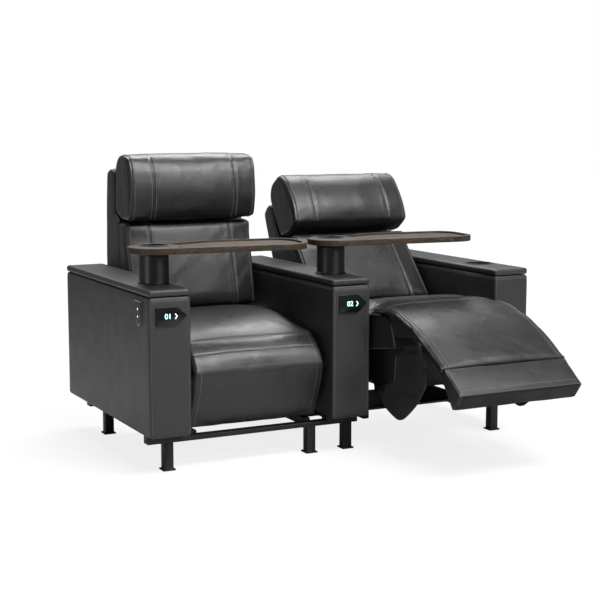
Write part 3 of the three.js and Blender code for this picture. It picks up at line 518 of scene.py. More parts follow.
# Trims
STITCH_ENDS = ((0.35, 0.0, -0.4), (1.0, 0.4, 1.0), (1.0, 0.4, 1.0), (0.35, 0.0, -0.4))
STITCH_SIDES, PIPE_SIDES, STITCH_LIFT = 5, 8, 0.25


def circled(sides):
    return [a * 2 * math.pi / sides for a in range(sides)]


def stitches(path, pitch=6.0, length=4.4, radius=0.55):
    """Thread stitches along a surface line, as verts and faces."""
    verts, faces = [], []
    if len(path) < 2:
        return verts, faces
    points, ups = np.array([p for p, _ in path]), np.array([n for _, n in path])
    gone = np.concatenate([[0], np.cumsum(np.linalg.norm(np.diff(points, axis=0), axis=1))])

    def between(s, rows):
        return np.array([np.interp(s, gone, rows[:, c]) for c in range(3)])

    n = STITCH_SIDES
    for at in np.arange(pitch / 2, gone[-1] / MM - pitch / 2, pitch) * MM:
        spots = [np.clip(at + d * MM, 0, gone[-1]) for d in (-length / 2, 0.0, length / 2)]
        start, middle, end = (between(s, points) for s in spots)
        up = between(at, ups)
        up /= max(np.linalg.norm(up), TINY)
        tangent = end - start
        if np.linalg.norm(tangent) < MERGE:
            continue
        side = np.cross(up, tangent / np.linalg.norm(tangent))
        base = len(verts)
        for (size, inner, rise), spot in zip(STITCH_ENDS, (start, start, end, end)):
            spot = spot * (1 - inner) + middle * inner
            for angle in circled(n):
                off = (side * math.cos(angle) + up * math.sin(angle)) * radius * size * MM
                verts.append(spot + off + up * STITCH_LIFT * rise * MM)
        for r in range(3):
            for a in range(n):
                i, j = base + r * n + a, base + r * n + (a + 1) % n
                faces.append((i, j, j + n, i + n))
        faces.append(tuple(base + a for a in range(n - 1, -1, -1)))
        faces.append(tuple(base + 3 * n + a for a in range(n)))
    return verts, faces


def tube(path, radius, closed=False):
    """A cord of piping along a surface line, as verts and faces."""
    verts, faces = [], []
    n, sides = len(path), PIPE_SIDES
    points = np.array([p for p, _ in path])
    for i in range(n):
        before = points[i - 1] if (closed or i) else points[i]
        after = points[(i + 1) % n] if (closed or i < n - 1) else points[i]
        tangent = after - before
        tangent /= max(np.linalg.norm(tangent), TINY)
        side = np.cross(tangent, np.array(path[i][1]))
        side /= max(np.linalg.norm(side), TINY)
        up = np.cross(side, tangent)
        for angle in circled(sides):
            verts.append(points[i] + (side * math.cos(angle) + up * math.sin(angle)) * radius * MM)
    for i in range(n if closed else n - 1):
        for a in range(sides):
            p, q = i * sides + a, i * sides + (a + 1) % sides
            r, s = ((i + 1) % n) * sides + a, ((i + 1) % n) * sides + (a + 1) % sides
            faces.append((p, q, s, r))
    if not closed:
        faces.append(tuple(range(sides - 1, -1, -1)))
        faces.append(tuple((n - 1) * sides + a for a in range(sides)))
    return verts, faces


class Trims(list):
    """Stitching, piping and small pieces that join one mesh, each (verts, faces, material name)."""

    def sew(self, path, *sizes):
        self.append((*stitches(path, *sizes), "thread"))

    # By default piping takes the lighter piping material, whose tone is a painted highlight.
    def pipe(self, path, radius, material="piping", closed=False):
        self.append((*tube(path, radius, closed), material))

    def plate(self, outline, xa, xb, material, edge=1.2):
        self.append((*across_plate(outline, xa, xb, edge), material))

    def join(self, obj):
        mesh = obj.data
        names = [m.name for m in mesh.materials]
        verts = [tuple(v.co) for v in mesh.vertices]
        faces = [tuple(p.vertices) for p in mesh.polygons]
        marks = [p.material_index for p in mesh.polygons]
        for more, rows, material in self:
            if not len(rows):
                continue
            label = MAT[material].name
            if label not in names:
                mesh.materials.append(MAT[material])
                names.append(label)
            base = len(verts)
            verts += [tuple(v) for v in more]
            faces += [tuple(i + base for i in f) for f in rows]
            marks += [names.index(label)] * len(rows)
        fresh = bpy.data.meshes.new(mesh.name)
        fresh.from_pydata(verts, [], faces)
        for m in mesh.materials:
            fresh.materials.append(m)
        flags(fresh, "material_index", marks, np.int32)
        flags(fresh, "use_smooth", np.ones(len(marks)), bool)
        fresh.update()
        obj.data = fresh
        bpy.data.meshes.remove(mesh)


def dip(distance, width):
    return np.exp(-(distance / width) ** 2)


def eased(t):
    return t * t * (3 - 2 * t)


def ripple(x, y, z, seed, length):
    """A smooth uneven value from -1 to 1, the same at every run."""
    rng = np.random.RandomState(seed)
    total = np.zeros(len(x))
    for _ in range(7):
        d = rng.normal(size=3)
        d /= np.linalg.norm(d)
        k = 2 * math.pi / (length * rng.uniform(0.7, 1.5))
        total += np.sin(k * (x * d[0] + y * d[1] + z * d[2]) + rng.uniform(0, 6.28))
    return total / 3.2


# Rigid shapes
def rounded(points, radius, steps=4):
    """A closed line with its corners turned into short curves."""
    p = np.array(points, float)
    out = []
    for i in range(len(p)):
        a, b, c = p[i - 1], p[i], p[(i + 1) % len(p)]
        reach = min(radius, 0.45 * np.linalg.norm(a - b), 0.45 * np.linalg.norm(c - b))
        start = b + (a - b) / np.linalg.norm(a - b) * reach
        end = b + (c - b) / np.linalg.norm(c - b) * reach
        for t in np.linspace(0, 1, steps + 1):
            out.append((1 - t) ** 2 * start + 2 * t * (1 - t) * b + t * t * end)
    return np.array(out)


def circle(u, v, radius, count=64):
    return [(u + radius * math.cos(a), v + radius * math.sin(a))
            for a in np.linspace(0, 2 * math.pi, count, endpoint=False)]


def link_loop(u0, v0, r0, u1, v1, r1):
    """The outline round two circles, counterclockwise."""
    points = sorted(set(circle(u0, v0, r0, 40) + circle(u1, v1, r1, 40)))
    halves = []
    for row in (points, points[::-1]):
        chain = []
        for q in row:
            while len(chain) > 1 and ((chain[-1][0] - chain[-2][0]) * (q[1] - chain[-2][1])
                                      - (chain[-1][1] - chain[-2][1]) * (q[0] - chain[-2][0])) <= 0:
                chain.pop()
            chain.append(q)
        halves += chain[:-1]
    return np.array(halves)


def across_plate(loop, xa, xb, edge=1.2):
    """A plate across X between xa and xb with rounded edges, as verts and faces."""
    loop = np.array([(q[0], q[1], 0.0) for q in loop], float)
    verts, faces = loft(loop, abs(xb - xa) / 2, edge, 0.0, 0.0, abs(xb - xa))
    return verts + np.array([(xa + xb) / 2 * MM, 0, 0]), faces


def prism(outline, z0, z1):
    """An upright block on a counterclockwise outline, as verts and faces."""
    n = len(outline)
    verts = [(x * MM, y * MM, z * MM) for z in (z0, z1) for x, y in outline]
    faces = [(i, (i + 1) % n, (i + 1) % n + n, i + n) for i in range(n)]
    return verts, [*faces, tuple(range(n - 1, -1, -1)), tuple(range(n, 2 * n))]


def lathe(profile, x, y, count=64):
    """A closed profile of (radius, z) turned about an upright line, as verts and faces."""
    n = len(profile)
    verts = [((x + r * math.cos(a)) * MM, (y + r * math.sin(a)) * MM, z * MM)
             for a in np.linspace(0, 2 * math.pi, count, endpoint=False) for r, z in profile]
    faces = [(s * n + i, (s + 1) % count * n + i, (s + 1) % count * n + (i + 1) % n, s * n + (i + 1) % n)
             for s in range(count) for i in range(n)]
    return verts, faces


def drum(radius, z0, z1, x, y, count=64):
    """A solid upright cylinder, as verts and faces."""
    return lathe([(0, z0), (radius, z0), (radius, z1), (0, z1)], x, y, count)


def rounded_block(low, high, radius, step):
    """A block in millimetres with round edges and an even mesh, as verts and faces."""
    lines = []
    for a, b in zip(low, high):
        near = [radius * (1 - math.tan(math.radians(t))) for t in (45, 30, 15, 0)]
        middle = np.linspace(a + radius, b - radius, max(2, round((b - a - 2 * radius) / step) + 1))[1:-1]
        lines.append([a + n for n in near] + list(middle) + [b - n for n in reversed(near)])
    index, verts, faces = {}, [], []

    def corner(key):
        if key not in index:
            index[key] = len(verts)
            verts.append([line[i] for line, i in zip(lines, key)])
        return index[key]

    for axis in range(3):
        u, v = (axis + 1) % 3, (axis + 2) % 3
        for side in (0, len(lines[axis]) - 1):
            for i in range(len(lines[u]) - 1):
                for j in range(len(lines[v]) - 1):
                    ring = []
                    for di, dj in ((0, 0), (1, 0), (1, 1), (0, 1)):
                        key = [0, 0, 0]
                        key[axis], key[u], key[v] = side, i + di, j + dj
                        ring.append(corner(tuple(key)))
                    faces.append(tuple(ring if side else ring[::-1]))
    p = np.array(verts)
    inner = np.clip(p, np.array(low) + radius, np.array(high) - radius)
    away = np.linalg.norm(p - inner, axis=1, keepdims=True)
    return (inner + (p - inner) / np.maximum(away, TINY) * radius) * MM, faces


def edited(mesh, *steps):
    """Runs bmesh steps on a mesh."""
    bm = bmesh.new()
    bm.from_mesh(mesh)
    for step in steps:
        step(bm)
    bm.to_mesh(mesh)
    bm.free()


def clean(obj):
    """Joins doubled vertices and turns all faces outwards."""
    edited(obj.data, lambda bm: bmesh.ops.remove_doubles(bm, verts=bm.verts, dist=MERGE),
           lambda bm: bmesh.ops.dissolve_degenerate(bm, edges=bm.edges, dist=MERGE),
           lambda bm: bmesh.ops.recalc_face_normals(bm, faces=bm.faces))
    return obj


def cut(obj, tool):
    modify(obj, "BOOLEAN", object=tool, operation="DIFFERENCE", solver="EXACT")
    bake(obj)
    bpy.data.objects.remove(tool)


def cutter(verts, faces):
    return clean(made("cutter", verts, faces, []))


def soften(obj, width, segments=2):
    modify(obj, "BEVEL", width=width * MM, segments=segments, limit_method="ANGLE",
           angle_limit=math.radians(40), use_clamp_overlap=True)
    return bake(obj)


def line(a, b, step=4.0):
    a, b = np.array(a, float), np.array(b, float)
    return [a + (b - a) * t for t in np.linspace(0, 1, max(2, int(np.linalg.norm(b - a) / step)))]


def dressed(node, name, body, material, width):
    """A copy of a CAD node with its facets joined and its edges broken, which stands for it."""
    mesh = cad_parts[node].data.copy()
    mesh.materials.clear()
    mesh.materials.append(MAT[material])
    obj = linked(name, mesh)
    flat = math.radians(0.5)
    edited(mesh, lambda bm: bmesh.ops.remove_doubles(bm, verts=bm.verts, dist=MERGE),
           lambda bm: bmesh.ops.dissolve_limit(bm, angle_limit=flat, verts=bm.verts, edges=bm.edges))
    flags(mesh, "material_index", np.zeros(len(mesh.polygons)), np.int32)
    soften(obj, width)
    return ready(obj, Matrix(), body, [node], 30)


# Arms
PLAN_RADIUS, STITCH_INSET, SEAM_DROP, CORNER_INSET, CAP_SEAM_INSET = 11.0, 8.0, 9.0, 3.2, 10.0
CUP_OFFSET, CUP_SETBACK, CUP_RADIUS, CUP_OUTER, CUP_FOOT = 5.0, 227.0, 46.0, 48.7, 570.0
CUP_FLOOR, CUP_RIM, CUP_RIM_FOOT, CUP_RIM_TOP = 573.0, 54.7, 643.3, 644.9
SWITCH_Y, SWITCH_Z = 330.0, PANEL_TOP - 58.0
SWITCH_DEPTH, SWITCH_LENGTH, SWITCH_HEIGHT, SWITCH_FRAME = 12.0, 46.0, 20.0, (26.0, 13.0, 6.0)
OVERRUN, GAP = 9.0, 0.3


def upholster(obj, low, high, puff, seam_z, seed):
    """Swells the faces of a padded block a little and draws in its seams."""
    def amount(x, y, z, no):
        spans = [np.minimum(v - a, b - v) for v, a, b in zip((x, y, z), low, high)]
        inset = np.min([np.where(np.abs(no[:, i]) > 0.7, 1e9, spans[i]) for i in range(3)], axis=0)
        d = puff * (np.clip(inset / 45.0, 0, 1) ** 0.5 - 1) + 0.25 * (ripple(x, y, z, seed, 190.0) - 1)
        if seam_z:
            d -= 1.3 * dip(z - seam_z, 2.4) * (np.abs(no[:, 2]) < 0.6)
        return d

    push(obj.data, amount)


def arm(name, index):
    x, half = ARM_CENTRES[name], ARM_WIDTH / 2
    low, high = (x - half, 0.0, PANEL_FOOT), (x + half, ARM_DEPTH, PANEL_TOP)
    body = made(f"arm_cover_{name}", *rounded_block(low, high, PLAN_RADIUS, 11.0), ["panel"])
    upholster(body, low, high, 1.1, PANEL_TOP - SEAM_DROP, 70 + index)
    low, high = (x - half, 0.0, CAP_FOOT), (x + half, ARM_DEPTH, CAP_TOP)
    cap = made(f"arm_pad_{name}", *rounded_block(low, high, 9.5, 9.0), ["panel"])
    upholster(cap, low, high, 0.5, 0.0, 80 + index)
    trims, caps = Trims(), Trims()
    seam = PANEL_TOP - SEAM_DROP - 3.0
    for side in SIDES:
        out, sewn, edge = (x + side * (half - inset) for inset in (0.0, STITCH_INSET, CORNER_INSET))
        flank = [(out, y, seam) for y in np.linspace(14, ARM_DEPTH - 14, 220)]
        trims.sew(trace(body, flank, (side, 0, 0)))
        trims.sew(trace(body, line((sewn, 0.0, PANEL_FOOT + 12), (sewn, 0.0, seam)), FRONT))
        corner = line((edge, CORNER_INSET, PANEL_FOOT + 9), (edge, CORNER_INSET, PANEL_TOP - 7))
        trims.pipe(trace(body, corner, (side, -1, 0)), 1.5, "panel")
    across = line((x - half + STITCH_INSET, 0.0, seam), (x + half - STITCH_INSET, 0.0, seam))
    trims.sew(trace(body, across, FRONT))
    if name == "right":
        well = drum(CUP_OUTER + GAP, CUP_FOOT - 1, CAP_TOP + OVERRUN, x + CUP_OFFSET, CUP_SETBACK)
        for piece in (body, cap):
            cut(piece, cutter(*well))
    else:
        low = (x + half - SWITCH_DEPTH, SWITCH_Y - SWITCH_LENGTH / 2, SWITCH_Z - SWITCH_HEIGHT / 2)
        high = (x + half + 8, SWITCH_Y + SWITCH_LENGTH / 2, SWITCH_Z + SWITCH_HEIGHT / 2)
        cut(body, cutter(*rounded_block(low, high, 2.0, 20.0)))
        u, v, radius = SWITCH_FRAME
        corners = [(SWITCH_Y + a * u, SWITCH_Z + b * v) for a, b in ((-1, -1), (1, -1), (1, 1), (-1, 1))]
        edge = smooth_loop([(*q, 1) for q in rounded(corners, radius)], 3.0)
        ring = [(Vector((x + half - 0.4, q[0], q[1])) * MM, Vector((1, 0, 0))) for q in edge]
        trims.pipe(ring, 1.6, "plastic", True)
    inset = CAP_SEAM_INSET
    west, east, front, back = x - half + inset, x + half - inset, inset, ARM_DEPTH - inset
    ring = [(west, front), (east, front), (east, back), (west, back)]
    for a, b in zip(ring, ring[1:] + ring[:1]):
        caps.sew(trace(cap, [(*q, CAP_TOP) for q in line(a, b)], TOP))
    trims.join(body)
    caps.join(cap)
    ready(body, BASE, "base", [f"arm_body_{name}"])
    ready(cap, BASE, "base", [f"arm_cap_{name}"])


for index, name in enumerate(ARM_CENTRES):
    arm(name, index)


# Cup holder, posts, trays and signs
def turned_piece(name, profile, x, y, body, node, radius):
    obj = clean(made(name, *lathe([tuple(q) for q in rounded(profile, radius, 3)], x, y), ["plastic"]))
    return ready(obj, BASE, body, [node], 35)


cup = [(0, CUP_FOOT), (CUP_OUTER, CUP_FOOT), (CUP_OUTER, CUP_RIM_FOOT), (CUP_RIM, CUP_RIM_FOOT),
       (CUP_RIM, CUP_RIM_TOP), (CUP_RADIUS, CUP_RIM_TOP), (CUP_RADIUS, CUP_FLOOR), (0, CUP_FLOOR)]
turned_piece("cup_holder", cup, PITCH + CUP_OFFSET, CUP_SETBACK, "base", "cup_liner", 0.7)

POST_OFFSET, POST_SETBACK, POST_RADIUS, POST_BORE = 19.0, 196.0, 52.0, 48.6
POST_FLANGE, POST_FLANGE_HEIGHT, POST_FLOOR = 56.0, 4.0, 5.0
HUB_RADIUS, HUB_HEIGHT, HUB_SKIRT = 59.0, 12.0, 62.0
SLEEVE = POST_BORE - 0.7
BORE, LIP, LIP_HEIGHT = SLEEVE - 3.4, SLEEVE + 3.6, 2.2
POST_FOOT = CAP_TOP + GAP
POST_TOP = POST_FOOT + 98.4
HUB_FOOT = POST_TOP + GAP
TRAY_FOOT = HUB_FOOT + 12.3
TRAY_TOP = TRAY_FOOT + 20.7
RECESS_INSET, RECESS_DEPTH = 13.0, 7.0
LAND_CENTRE, LAND_RADIUS = (-22.0, -35.0), 108.0


def curve(*points):
    """Points of a Bezier curve, without its last."""
    n = len(points) - 1
    return [sum(math.comb(n, i) * (1 - t) ** (n - i) * t ** i * np.array(points[i]) for i in range(n + 1))
            for t in np.linspace(0, 1, 22)[:-1]]


def tray_outline(inset):
    """The tray's outline about its post, from its round near end to its tip and back along the waist."""
    front, back, tip, end = 135.0 - inset, 130.0 - inset, 553.0 - inset, 100.0 - inset
    top = end - 35.0
    half_turn = np.linspace(math.pi / 2, 1.5 * math.pi, 30)
    near = [np.array((end * math.cos(a), end * math.sin(a) - 35.0)) for a in half_turn]
    return [*near, *curve((tip - 112.0, -front), (tip, -front), (tip, 112.0 - front)),
            *curve((tip, back - 86.0), (tip, back), (tip - 86.0, back)),
            *curve((250.0, back), (187.5, back), (125.0, top), (0.0, top))]


for k in (1, 2):
    x = (k - 2) * PITCH + POST_OFFSET
    flange, floor, shoulder = POST_FOOT + POST_FLANGE_HEIGHT, POST_FOOT + POST_FLOOR, HUB_FOOT + HUB_HEIGHT
    skirt, lip_foot = POST_TOP - HUB_SKIRT, TRAY_TOP + GAP
    lip_top = lip_foot + LIP_HEIGHT
    post = [(0, POST_FOOT), (POST_FLANGE, POST_FOOT), (POST_FLANGE, flange), (POST_RADIUS, flange),
            (POST_RADIUS, POST_TOP), (POST_BORE, POST_TOP), (POST_BORE, floor), (0, floor)]
    turned_piece(f"post_{k}", post, x, POST_SETBACK, "base", f"tray_post_{k}", 1.0)
    hub = [(BORE, skirt), (SLEEVE, skirt), (SLEEVE, HUB_FOOT), (POST_RADIUS, HUB_FOOT),
           (HUB_RADIUS, shoulder), (SLEEVE, shoulder), (SLEEVE, lip_foot), (LIP, lip_foot),
           (LIP, lip_top), (BORE, lip_top)]
    turned_piece(f"hub_{k}", hub, x, POST_SETBACK, f"tray_{k}", f"tray_hub_{k}", 0.9)
    slab = made(f"tray_{k}", *prism(tray_outline(0.0), TRAY_FOOT, TRAY_TOP), [f"walnut_{k}"])
    sunk = cutter(*prism(tray_outline(RECESS_INSET), TRAY_TOP - RECESS_DEPTH, TRAY_TOP + OVERRUN))
    cut(sunk, cutter(*drum(LAND_RADIUS, TRAY_FOOT, TRAY_TOP + 20, *LAND_CENTRE, 96)))
    cut(slab, sunk)
    cut(slab, cutter(*drum(SLEEVE + GAP, TRAY_FOOT - OVERRUN, TRAY_TOP + OVERRUN, 0, 0, 96)))
    soften(slab, 2.2, 4)
    turn = Matrix.Rotation(math.radians(-TRAY_SWING), 4, "Z")
    spin = Matrix.Translation(Vector((x, POST_SETBACK, 0)) * MM) @ turn
    ready(slab, BASE @ spin, f"tray_{k}", [f"tray_top_{k}"], 30)

SIGN_Z, SIGN_OFFSET, SIGN_FRONT, SIGN_WIDTH, SIGN_HEIGHT, SIGN_THICKNESS = 552.0, 5.0, -5.3, 112, 67, 5.0
SIGN_SHARES = ((-0.5, -0.5), (0.15, -0.5), (0.5, 0), (0.15, 0.5), (-0.5, 0.5))
ARROW = ((6, 0), (0, -9), (4, -9), (10, 0), (4, 9), (0, 9))
DIGIT_SIZE, DIGIT_OFFSET, ARROW_OFFSET = 25.0, -14, 10


def words(name, text, size, x, y, z):
    """Plain glowing characters that face the front."""
    font = bpy.data.curves.new(name, "FONT")
    font.body, font.size = text, size * MM
    font.extrude, font.offset = 0.15 * MM, 0.35 * MM
    font.align_x, font.align_y = "CENTER", "CENTER"
    obj = linked(name, font)
    bpy.context.view_layer.update()
    mesh = evaluated(obj)
    bpy.data.objects.remove(obj)
    mesh.transform(Matrix.Translation(Vector((x, y, z)) * MM) @ Matrix.Rotation(math.pi / 2, 4, "X"))
    mesh.materials.clear()
    mesh.materials.append(MAT["glow"])
    return linked(name, mesh)


def front_plate(name, outline, y, depth, material, smooth=True):
    """An upright plate drawn in (x, z) whose back lies at y."""
    verts, faces = prism(outline, 0.0, depth)
    return clean(made(name, [(v[0], y * MM - v[2], v[1]) for v in verts], faces, [material], smooth=smooth))


for k in (1, 2):
    x = (k - 2) * PITCH + SIGN_OFFSET
    shape = [(x + u * SIGN_WIDTH, SIGN_Z + w * SIGN_HEIGHT) for u, w in SIGN_SHARES]
    plate = front_plate(f"sign_{k}", rounded(shape, 5.0), -GAP, SIGN_THICKNESS, "glass")
    soften(plate, 1.0, 3)
    ready(plate, BASE, "base", [f"seat_sign_{k}"], 30)
    digits = words(f"sign_digits_{k}", f"0{k}", DIGIT_SIZE, x + DIGIT_OFFSET, SIGN_FRONT - 0.1, SIGN_Z)
    ready(digits, BASE, "base", None)
    arrow = [(x + ARROW_OFFSET + u, SIGN_Z + w) for u, w in ARROW]
    mark = front_plate(f"sign_arrow_{k}", arrow, SIGN_FRONT + 0.05, 0.3, "glow", False)
    ready(mark, BASE, "base", None)

SHIELD = [(0, -0.5), (0.36, -0.36), (0.5, -0.1), (0.5, 0.5), (-0.5, 0.5), (-0.5, -0.1), (-0.36, -0.36)]
SHIELD_Y, SHIELD_Z, SHIELD_WIDTH, SHIELD_HEIGHT = 93, 555, 63, 88
ARM_SIDE = -PITCH - ARM_WIDTH / 2


def shield_plate(inset, near, far, edge):
    loop = rounded([(SHIELD_Y + u * (SHIELD_WIDTH - 2 * inset), SHIELD_Z + w * (SHIELD_HEIGHT - 2 * inset))
                    for u, w in SHIELD], 6.0)
    return across_plate(loop, ARM_SIDE - near, ARM_SIDE - far, edge)


verts, faces = shield_plate(0.0, 0.3, 3.6, 1.0)
more, rows = shield_plate(4.0, 2.0, 5.3, 1.2)
badge = made("aisle_badge", [*verts, *more], [*faces, *[tuple(i + len(verts) for i in f) for f in rows]],
             ["rim", "glass"], [0] * len(faces) + [1] * len(rows))
lamps = Trims()
for z in (571, 545):
    lamps.plate(circle(SHIELD_Y, z, 3.6, 24), ARM_SIDE - 5.0, ARM_SIDE - 5.7, "glow", 0.3)
lamps.join(badge)
ready(badge, BASE, "base", ["aisle_sign"], 30)

# Stand and mechanism
for leg in ("front_leg_1", "front_leg_2", "front_leg_3", "front_leg_4", "rear_leg_1", "rear_leg_2"):
    dressed(leg, f"{leg}_post", "base", "metal", 1.6)
for rail in ("front_cross_rail", "rear_cross_rail"):
    dressed(rail, f"{rail}_bar", "base", "metal", 1.6)
for k in (1, 2):
    for side in ("left", "right"):
        dressed(f"slide_track_{k}_{side}", f"track_{k}_{side}", "base", "metal", 1.2)
    for node, name, body, material, slot, width in (
            ("actuator_housing", "actuator_tube", "base", "metal", "black_metal", 0.8),
            ("carriage", "slide_frame", f"carriage_{k}", "metal", "black_metal", 1.0),
            ("actuator_rod", "actuator_shaft", f"carriage_{k}", "steel", "steel", 0.6),
            ("head_bracket", "head_plate", f"head_{k}", "metal", "black_metal", 0.8),
            ("calf_board", "leg_board", f"leg_rest_{k}", "board", "dark_board", 1.0),
            ("rocker", "seat_switch", f"rocker_{k}", "plastic", "black_plastic", 0.7)):
        dressed(f"{node}_{k}", f"{name}_{k}", body, material, width)

BOX_HALF, APRON_HALF, BACK_LUG, TILT_LUG, LUG_WIDTH = 254.5, 200.0, 240.0, 215.5, 10.0
TILT_LINK, BACK_LINK, BACK_PIN, PIN_REACH = (610, 338, 20), (616, 412, 12), 6, 20.5
BOX = [(80, 318), (626, 318), (626, 434), (134, 434), (98, 405)]
APRON = [(104 + v * 456, 317.7 - w * 165) for v, w in ((0, 0), (0.036, 0.084), (0.145, 0.176), (0.205, 0.8),
                                                      (0.52, 1), (0.53, 0.7), (1, 0.7), (1, 0))]
GUARD_LENGTH, GUARD_DEPTH, GUARD_TURN, GUARD_OFFSET, GUARD_WIDTH = 346.0, 170.0, math.radians(1.7), 258.0, 6.0
GUARD_BOSS, GUARD_PIN = 11.6, 4.9
GUARD_SHARES = [(-0.087, 0.359), (-0.014, 0.371), (0.121, 0.176), (0.202, 0.2), (0.413, 0.347),
                (0.598, 0.559), (0.746, 0.629), (0.896, 0.559), (0.913, 0.371), (0.847, 0), (0.786, -0.182),
                (0.682, -0.276), (0.436, -0.371), (0.257, -0.365), (0.101, -0.271)]


def counterclockwise(loop):
    a, b = np.array(loop)[:, 0], np.array(loop)[:, 1]
    area = np.sum(a * np.roll(b, -1) - b * np.roll(a, -1))
    return loop if area > 0 else loop[::-1]


def guard_loop():
    points = []
    for a, n in GUARD_SHARES:
        along, across = a * GUARD_LENGTH, n * GUARD_DEPTH
        points.append((GUARD_PIVOT[0] + along * math.cos(GUARD_TURN) - across * math.sin(GUARD_TURN),
                       GUARD_PIVOT[1] + along * math.sin(GUARD_TURN) + across * math.cos(GUARD_TURN), 1.0))
    return smooth_loop(counterclockwise(points), 6.0)


def block_cover(name, profile, half, radius, inset, edge, hem, down):
    """An upholstered block: a profile across X with soft edges, piped front corners and a stitched hem."""
    loop = rounded(counterclockwise(profile), radius, 5)
    loop = np.column_stack([loop, np.zeros(len(loop))])
    obj = made(name, *loft(loop, half, 7.0, 0.0, 0.0, 30.0), ["board"])
    trims = {side: Trims() for side in SIDES}
    for side in SIDES:
        x = side * (half - inset)
        trims[side].pipe(trace(obj, line(*((x, *q) for q in edge)), (side, -1, 0), 10.0), 2.2)
        trims[side].sew(trace(obj, line(*((x, *q) for q in hem)), (side, 0, down), 10.0))
    return obj, trims


def joined(*rows):
    return Trims(part for row in rows for part in row)


for k in (1, 2):
    where = FRAMES[k]
    seat_base, trims = block_cover(f"seat_base_{k}", BOX, BOX_HALF, 7.0, 2.0, [(80.6, 324), (97.0, 401)],
                                   [(90, 320), (618, 320)], -0.15)
    for side in SIDES:
        for outline, near, far, look in (
                (link_loop(*TILT_LINK, *TILT_PIVOT, 15), TILT_LUG, TILT_LUG + LUG_WIDTH, ("metal",)),
                (link_loop(*BACK_LINK, *BACK_PIVOT, 13), BACK_LUG, BACK_LUG + LUG_WIDTH, ("metal",)),
                (circle(*BACK_PIVOT, BACK_PIN, 32), BACK_LUG, BACK_LUG + PIN_REACH, ("steel", 0.8))):
            trims[side].plate(outline, side * near, side * far, *look)
    joined(*trims.values()).join(seat_base)
    ready(seat_base, where["seat"], f"seat_{k}", [f"seat_box_{k}"], 35)

    apron, trims = block_cover(f"seat_skirt_{k}", APRON, APRON_HALF, 9.0, 2.0, [(171, 286), (197, 190)],
                               [(215, 190), (330, 160)], 0)
    joined(*trims.values()).join(apron)
    ready(apron, where["seat"], f"seat_{k}", [f"apron_{k}"], 35)

    for side, tag in zip(SIDES, ("left", "right")):
        near, far = side * GUARD_OFFSET, side * (GUARD_OFFSET + GUARD_WIDTH)
        guard = made(f"side_guard_{tag}_{k}", *across_plate(guard_loop(), near, far, 1.8), ["guard"])
        trims = Trims()
        trims.plate(circle(*GUARD_PIVOT, GUARD_BOSS, 40), near + side * 0.2, far - side * 0.2, "guard", 0.5)
        trims.plate(circle(*GUARD_PIVOT, GUARD_PIN, 24), near + side * 1, far - side * 0.1, "steel", 0.5)
        trims.join(guard)
        ready(guard, where["guard"], f"guards_{k}", [f"guard_{tag}_{k}"], 35)


# Soft pieces
def placed(shares, y0, y1, z0, z1):
    return [(y0 + v * (y1 - y0), z0 + w * (z1 - z0), s) for v, w, s in shares]


HEAD = placed([(0.16, 0.016, 0.5), (0.51, 0, 0.3), (0.74, 0.04, 0.3), (0.92, 0.09, 0.2), (1, 0.18, 0.05),
               (1, 0.7, 0.05), (0.93, 0.89, 0.3), (0.74, 0.99, 0.3), (0.52, 1, 0.3), (0.31, 0.985, 0.35),
               (0.17, 0.93, 0.5), (0.07, 0.8, 0.7), (0.015, 0.62, 1), (0, 0.42, 1), (0.015, 0.26, 1),
               (0.08, 0.09, 0.7)], 609, 785, 824, 1077)
SHELL = placed([(0, 0.018, 0), (0.27, 0, 0.3), (0.69, 0.09, 0.6), (0.96, 0.24, 0.8), (1, 0.32, 1),
                (0.98, 0.6, 1), (0.89, 0.94, 1), (0.8, 0.985, 0.8), (0.64, 1, 0.6), (0.5, 0.993, 0.3),
                (0.457, 0.967, 0), (0.457, 0.693, 0), (0.16, 0.639, 0)], 720, 908, 470, 1018)
BACK = [(634, 477, 0.2), (650, 467, 0), (716, 467, 0), (749, 815, 0),
        *placed([(0.67, 1, 0.3), (0.54, 0.955, 0.8), (0.5, 0.8, 1), (0.35, 0.56, 1), (0.19, 0.33, 1),
                 (0.03, 0.09, 1), (0, 0, 0.5)], 607, 720, 492, 815)]
SEAT_REAR, TAIL_HALF = 628.0, 230.0
SEAT_TOP = [(684, 437, 0), (684, 450, 0), (646, 460, 0), (SEAT_REAR, 478, 0.3), (535, 487, 1), (418, 494, 1),
            (307, 489, 1)]
SEAT = {1: [(136, 434.5, 0), (SEAT_REAR, 434.5, 0), *SEAT_TOP, (240, 476, 1), (190, 465, 1), (148, 453, 0.8),
            (125, 442, 0.4), (119, 431, 0.1)],
        2: [(150, 434.5, 0), (SEAT_REAR, 434.5, 0), *SEAT_TOP, (262, 483, 0.6), (246, 474, 0.3),
            (200, 463, 0.2), (160, 448, 0.1)]}
LEG_FRONT = [(32, 304, 1), (39, 277, 1), (60, 222, 1), (82, 174, 1)]
LEG_TOE = {1: [(92, 148, 0.7), (96, 134, 0.1)], 2: [(89, 157, 1), (94, 145, 0.5), (100, 137.5, 0)]}
LEG_REAR = [(124.5, 149, 0), (78, 258, 0), (51, 347, 0)]
LEG_KNEE = {1: [(80, 380, 0), (92, 381, 0), (97, 406, 0), (122, 430, 0.1), (123, 443, 0.3), (108, 436, 0.8),
                (79, 415, 1), (48.5, 387, 1), (31, 358, 1), (24, 335, 1)],
            2: [(-31, 356, 0), (88, 357, 0), (92, 380, 0), (108, 430, 0), (158, 452, 0), (200, 467, 0.1),
                (246, 478, 0.2), (262, 486, 0.4), (240, 486, 0.8), (190, 480, 1), (141, 472, 1), (96, 458, 1),
                (50, 443, 1), (-3, 416, 1), (-60, 386, 1)]}
